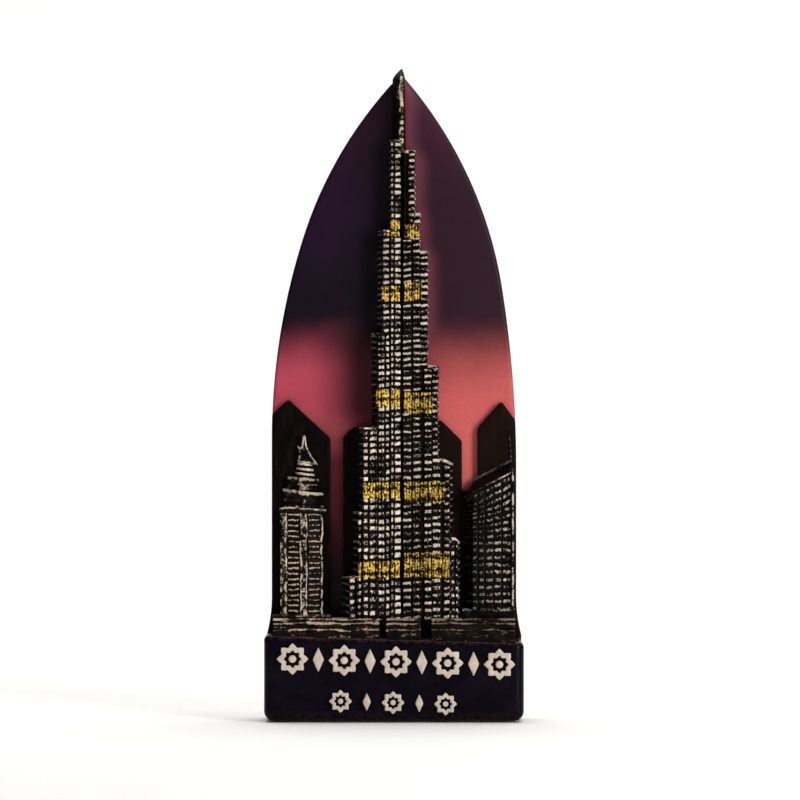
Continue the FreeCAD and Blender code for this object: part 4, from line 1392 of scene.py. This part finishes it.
def build_frieze_row(row):
    """One row of star rosettes and one of the lozenges between them."""
    label, height, shift, radius, count, pitch, share = row
    edge = size("frieze_edge")
    back = FRONT_FACE + 0.3
    front = node_box("frieze_stars_" + label)[0][1]
    stars = []
    lozenges = []
    for index in range(count):
        x = shift + (index - (count - 1) / 2) * pitch
        z = height - x * math.tan(math.radians(FRIEZE_SLOPE))
        stars.append(raised_band(
            lambda inset: star_loop(x, z, radius, inset),
            lambda inset: star_loop(x, z, radius * STAR_WINDOW, inset),
            back, front, edge, 301 + index))
        boss = radius * STAR_BOSS
        stars.append(raised_pad(circle(48, x, z, boss), back, front, min(edge, boss * 0.6),
                                321 + index))
        if index < count - 1:
            x += pitch / 2
            z = height - x * math.tan(math.radians(FRIEZE_SLOPE))
            tall = radius * 0.8
            wide = (pitch / 2 - radius) * share
            loop = rounded_path([(x, z - tall), (x + wide, z), (x, z + tall), (x - wide, z)],
                                0.22, 0.09)
            lozenges.append(raised_pad(loop, back, front, min(edge, wide * 0.35), 341 + index))
    return (join("frieze_stars_%s_painted" % label, stars),
            join("frieze_lozenges_%s_painted" % label, lozenges))


def cream_enamel():
    """Cream enamel brushed over the raised ornament, thin on its flanks so that it looks
    hand-painted."""
    material, tree, where = new_material("cream brushed enamel")
    strokes = grain(tree, stretched(tree, where, 0.5), 0.6, 4.0, 0.6)
    patches = grain(tree, where, 2.2, 2.0)
    cream = blend(tree, fade(tree, strokes, 0.35, 0.7), "#c9b9a8", "cream")
    cream = blend(tree, fade(tree, patches, 0.4, 0.7, 0.0, 0.35), cream, "#b7a592")
    loaded = maths(tree, "ADD", field(tree, "raised"), fade(tree, strokes, 0.3, 0.7, -0.15, 0.1))
    colour = blend(tree, fade(tree, loaded, 0.45, 0.8), "#1b131c", cream)
    finish(tree, {"Base Color": colour, "Roughness": fade(tree, strokes, 0.2, 0.8, 0.38, 0.55),
                  "Specular IOR Level": 0.3,
                  "Normal": bump(tree, strokes, 0.04, 0.5)})
    return material


# -------------------------------------------------------------------------- magnets
# The glue bead's section from one hidden end round to the other: reach past the magnet as a share
# of the bead's width, and height over the back.
BEAD_SECTION = ((-0.06, 0.05), (0.1, 0.16), (0.35, 0.18), (0.65, 0.12), (1.0, -0.05))
BEAD_ROOT = 2.4
BEAD_POINTS = 160


def turned(name, profile, centre, around=96):
    """A solid of revolution whose axis runs front to back, from (radius, y) points."""
    return skin(name, [at_depth(circle(around, centre[0], centre[2], radius), y)
                       for radius, y in profile])


def build_magnet(label):
    """One disc magnet with ground edges in its pocket, and the glue under and around it."""
    low, high = node_box("magnet_" + label)
    centre = (low + high) / 2
    radius = (high[0] - low[0]) / 2
    profile = [(0.5, low[1]), (radius * 0.7, low[1]), (radius - 0.25, low[1]),
               (radius, low[1] + 0.25)]
    profile += [(radius, y) for y in np.linspace(low[1] + 0.5, high[1] - 0.4, 6)]
    profile += [(radius - 0.3 * (1 - math.cos(t)), high[1] - 0.3 * (1 - math.sin(t)))
                for t in np.linspace(0, QUARTER, 6)]
    profile += [(radius * share, high[1]) for share in (0.9, 0.75, 0.55, 0.35, 0.15, 0.03)]
    disc = turned("magnet_%s_ferrite" % label, profile, centre)

    low, high = node_box("magnet_glue_" + label)
    pocket = (high[0] - low[0]) / 2 - 0.02
    bottom, top = low[1] + 0.01, high[1] - 0.01
    base = turned("glue_layer", [(0.5, bottom), (pocket, bottom), (pocket, top), (0.5, top)],
                  centre)
    along, up = circle(BEAD_POINTS, 5, 5, 4).T
    spread = 0.32 + 0.22 * noise(along, up, 1.4, 401 if label == "upper" else 402)
    section = [(radius + 0.02, -BEAD_ROOT)]
    section += [(radius + share * spread, lift) for share, lift in BEAD_SECTION]
    section += [(radius + 0.12, -BEAD_ROOT)]
    bead = skin("glue_bead", [
        at_depth(circle(BEAD_POINTS, centre[0], centre[2], reach), BACK_FACE + lift)
        for reach, lift in section], ring=True)
    return disc, join("magnet_glue_%s_bead" % label, [base, bead])


def ferrite_ceramic():
    """Sintered ferrite: dark grey and finely pitted, with paler ground marks."""
    material, tree, where = new_material("sintered ferrite")
    pits = grain(tree, where, 0.18, 4.0, 0.65)
    clouds = grain(tree, where, 3.0, 3.0)
    colour = blend(tree, fade(tree, pits, 0.35, 0.65), "#191819", "ferrite")
    colour = blend(tree, fade(tree, clouds, 0.4, 0.7, 0.0, 0.4), colour, "#454345")
    finish(tree, {"Base Color": colour, "Metallic": 0.15,
                  "Roughness": fade(tree, clouds, 0.2, 0.8, 0.48, 0.65),
                  "Normal": bump(tree, pits, 0.03, 0.6)})
    return material


def amber_glue():
    """Hardened amber glue: glossy, slightly clouded, with small bubbles."""
    material, tree, where = new_material("hardened amber glue")
    clouds = grain(tree, where, 1.5, 3.0)
    bubbles = grain(tree, where, 0.25, 2.0)
    colour = blend(tree, fade(tree, clouds, 0.3, 0.7), "#a88c4e", "glue")
    colour = blend(tree, fade(tree, bubbles, 0.62, 0.7, 0.0, 0.5), colour, "#e3d4aa")
    finish(tree, {"Base Color": colour, "Roughness": fade(tree, clouds, 0.2, 0.8, 0.18, 0.34),
                  "IOR": 1.48,
                  "Normal": bump(tree, clouds, 0.05, 0.5)})
    return material


# -------------------------------------------------------------------------- stage
# The floor in metres: half its width, where it starts to curve up, and the backdrop over it.
FLOOR_HALF = 0.62
CURVE_START = 0.72
CURVE_RADIUS = 0.3
BACKDROP_TOP = 1.4
# The floor lies this far under the plinth, so that the two don't share a plane.
FLOOR_GAP = 0.0002


def build_floor():
    """A pale floor that curves up into a backdrop."""
    profile = [(y, 0.0) for y in (-FLOOR_HALF, -0.3, 0.0, 0.36, CURVE_START)]
    profile += [(CURVE_START + CURVE_RADIUS * math.sin(t), CURVE_RADIUS * (1 - math.cos(t)))
                for t in np.linspace(0, QUARTER, 14)[1:]]
    profile += [(CURVE_START + CURVE_RADIUS, z) for z in (0.6, BACKDROP_TOP)]
    width = np.linspace(-FLOOR_HALF, FLOOR_HALF, 12)
    points = [(x, y, z - FLOOR_GAP) for y, z in profile for x in width]
    count = len(width)
    faces = [(r * count + c, r * count + c + 1, (r + 1) * count + c + 1, (r + 1) * count + c)
             for r in range(len(profile) - 1) for c in range(count - 1)]
    mesh = bpy.data.meshes.new("floor")
    mesh.from_pydata(points, [], faces)
    mesh.shade_smooth()
    mesh.materials.append(seamless_paper())
    return add_to_scene("floor", mesh)


def seamless_paper():
    """Pale matt paper with faint fibres, so that the floor isn't a flat tone."""
    material, tree, where = new_material("pale seamless paper")
    fibres = grain(tree, where, 0.8, 3.0)
    colour = blend(tree, fade(tree, fibres, 0.3, 0.7, 0.0, 0.06), "floor", "#dedcd8")
    finish(tree, {"Base Color": colour, "Roughness": 0.85,
                  "Normal": bump(tree, fibres, 0.05, 0.2)})
    return material


# Name, place, target and size in metres, and power in watts.
LIGHTS = (
    ("key_light", (0.40, -0.46, 0.20), (0.0, 0.0, 0.05), (0.2, 0.36), 2.7),
    ("fill_light", (-0.35, -0.6, 0.35), (0.0, 0.0, 0.05), (0.4, 0.4), 0.2),
    ("top_light", (0.05, 0.02, 0.7), (0.05, 0.02, 0.0), (0.5, 0.3), 3.0),
    ("backdrop_light", (0.0, 0.42, 0.95), (0.0, 0.96, 0.2), (1.2, 0.4), 9.0),
)


def build_lights():
    """Soft area lights: a key from the right, a weak fill from the left, one from above and one
    on the backdrop."""
    for name, spot, target, (width, height), power in LIGHTS:
        lamp = bpy.data.lights.new(name, "AREA")
        lamp.shape = "RECTANGLE"
        lamp.size, lamp.size_y = width, height
        lamp.energy = power
        thing = add_to_scene(name, lamp)
        thing.location = spot
        towards = Vector(target) - thing.location
        thing.rotation_euler = towards.to_track_quat("-Z", "Y").to_euler()


def build_surround():
    """A dim room that lights the plaque, seen by the camera as a pale wall past the floor."""
    world = bpy.data.worlds.new("pale surround")
    bpy.context.scene.world = world
    world.use_nodes = True
    tree = world.node_tree
    tree.nodes.clear()
    room = add_node(tree, "ShaderNodeBackground", {"Color": paint("#eceae8"), "Strength": 0.06})
    wall = add_node(tree, "ShaderNodeBackground", {"Color": paint("#d6d4d1"), "Strength": 1.0})
    seen = add_node(tree, "ShaderNodeLightPath").outputs["Is Camera Ray"]
    mixed = add_node(tree, "ShaderNodeMixShader", {0: seen, 1: room.outputs[0],
                                                   2: wall.outputs[0]})
    add_node(tree, "ShaderNodeOutputWorld", {"Surface": mixed.outputs[0]})


def build_camera():
    """A long lens straight in front of the plaque, level with its middle."""
    lens = bpy.data.cameras.new("camera")
    lens.lens = 205
    lens.sensor_width = 36
    lens.clip_start = 0.01
    camera = add_to_scene("camera", lens)
    camera.location = (0.00092, -0.7, 0.049)
    camera.rotation_euler = (QUARTER, 0, 0)
    bpy.context.scene.camera = camera
    bpy.context.scene.view_settings.view_transform = "Standard"


# -------------------------------------------------------------------------- operators
class PLAQUE_OT_sky_plate(bpy.types.Operator):
    """Build the airbrushed sky plate"""
    bl_idname = "plaque.sky_plate"
    bl_label = "Sky plate"

    def execute(self, context):
        place(build_plate(), "sky_paint", sky_lacquer(), "back_plate")
        return {"FINISHED"}


class PLAQUE_OT_far_blocks(bpy.types.Operator):
    """Build the three flat far blocks"""
    bl_idname = "plaque.far_blocks"
    bl_label = "Far blocks"

    def execute(self, context):
        coat = far_block_paint()
        for thing, node in build_far_blocks():
            place(thing, "far_block_paint", coat, node)
        return {"FINISHED"}


class PLAQUE_OT_tower(bpy.types.Operator):
    """Build the twelve bays of the tower and its needle"""
    bl_idname = "plaque.tower"
    bl_label = "Tower"

    def execute(self, context):
        coat = brushed_finish("silver dry-brushed over black wash")
        for side, label in SIDE_NAMES.items():
            for number in range(1, BAY_COUNT + 1):
                place(build_bay(side, number), "tower_paint", coat,
                      "tower_%s_bay_%d" % (label, number))
        place(build_needle(), "tower_paint", coat, "tower_needle")
        return {"FINISHED"}


class PLAQUE_OT_plinth(bpy.types.Operator):
    """Build the plinth"""
    bl_idname = "plaque.plinth"
    bl_label = "Plinth"

    def execute(self, context):
        place(build_plinth(), "plinth_paint", plinth_enamel(), "plinth")
        return {"FINISHED"}


class PLAQUE_OT_podium(bpy.types.Operator):
    """Build the stepped podium slabs"""
    bl_idname = "plaque.podium"
    bl_label = "Podium"

    def execute(self, context):
        coat = brushed_finish("bronze dry-brushed over brown wash", 1.15, 0.4, "#b39a80", 0.45)
        for seed, name in ((501, "podium_left"), (511, "podium_centre"), (521, "podium_right")):
            place(build_podium(name, seed), "podium_paint", coat, name)
        return {"FINISHED"}


class PLAQUE_OT_side_blocks(bpy.types.Operator):
    """Build the left and right blocks beside the tower"""
    bl_idname = "plaque.side_blocks"
    bl_label = "Side blocks"

    def execute(self, context):
        antique = brushed_finish("antique silver dry-brushed over brown wash", 1.2, 0.4,
                                 "#c4b19c", 0.3)
        pewter = brushed_finish("pewter dry-brushed over black wash", 1.0, 0.2, "#b4b3b0")
        for things, coat in ((build_left_block(), antique), (build_right_block(), pewter)):
            for thing in things:
                place(thing, "side_block_paint", coat, thing.name.replace("_painted", ""))
        return {"FINISHED"}


class PLAQUE_OT_frieze(bpy.types.Operator):
    """Build the raised star and lozenge frieze on the plinth"""
    bl_idname = "plaque.frieze"
    bl_label = "Frieze"

    def execute(self, context):
        coat = cream_enamel()
        for row in FRIEZE_ROWS:
            stars, lozenges = build_frieze_row(row)
            place(stars, "cream_paint", coat, "frieze_stars_" + row[0])
            place(lozenges, "cream_paint", coat, "frieze_lozenges_" + row[0])
        return {"FINISHED"}


class PLAQUE_OT_magnets(bpy.types.Operator):
    """Build the two magnets on the back with their glue"""
    bl_idname = "plaque.magnets"
    bl_label = "Magnets"

    def execute(self, context):
        ferrite = ferrite_ceramic()
        glue = amber_glue()
        for label in ("lower", "upper"):
            disc, bead = build_magnet(label)
            place(disc, "ferrite", ferrite, "magnet_" + label)
            place(bead, "glue", glue, "magnet_glue_" + label)
        return {"FINISHED"}


class PLAQUE_OT_stage(bpy.types.Operator):
    """Build the pale floor, the soft lights and the camera"""
    bl_idname = "plaque.stage"
    bl_label = "Stage"

    def execute(self, context):
        floor = build_floor()
        build_lights()
        build_surround()
        build_camera()
        return {"FINISHED"}


OPERATORS = (
    PLAQUE_OT_sky_plate, PLAQUE_OT_far_blocks, PLAQUE_OT_tower, PLAQUE_OT_plinth,
    PLAQUE_OT_podium, PLAQUE_OT_side_blocks, PLAQUE_OT_frieze, PLAQUE_OT_magnets,
    PLAQUE_OT_stage,
)


class PLAQUE_PT_panel(bpy.types.Panel):
    """Sizes, colours and build steps of the plaque"""
    bl_idname = "PLAQUE_PT_panel"
    bl_label = "Relief plaque"
    bl_space_type = "VIEW_3D"
    bl_region_type = "UI"
    bl_category = "Plaque"

    def draw(self, context):
        column = self.layout.column(align=True)
        for operator in OPERATORS:
            column.operator(operator.bl_idname)
        for group in (context.scene.plaque_sizes, context.scene.plaque_colours):
            column = self.layout.column(align=True)
            for key in group.__annotations__:
                column.prop(group, key)


CLASSES = (PlaqueSizes, PlaqueColours) + OPERATORS + (PLAQUE_PT_panel,)


def register():
    for item in CLASSES:
        bpy.utils.register_class(item)
    bpy.types.Scene.plaque_sizes = PointerProperty(type=PlaqueSizes)
    bpy.types.Scene.plaque_colours = PointerProperty(type=PlaqueColours)


def unregister():
    del bpy.types.Scene.plaque_sizes
    del bpy.types.Scene.plaque_colours
    for item in reversed(CLASSES):
        bpy.utils.unregister_class(item)


def main():
    register()
    for operator in OPERATORS:
        group, action = operator.bl_idname.split(".")
        getattr(getattr(bpy.ops, group), action)()


if __name__ == "__main__":
    main()
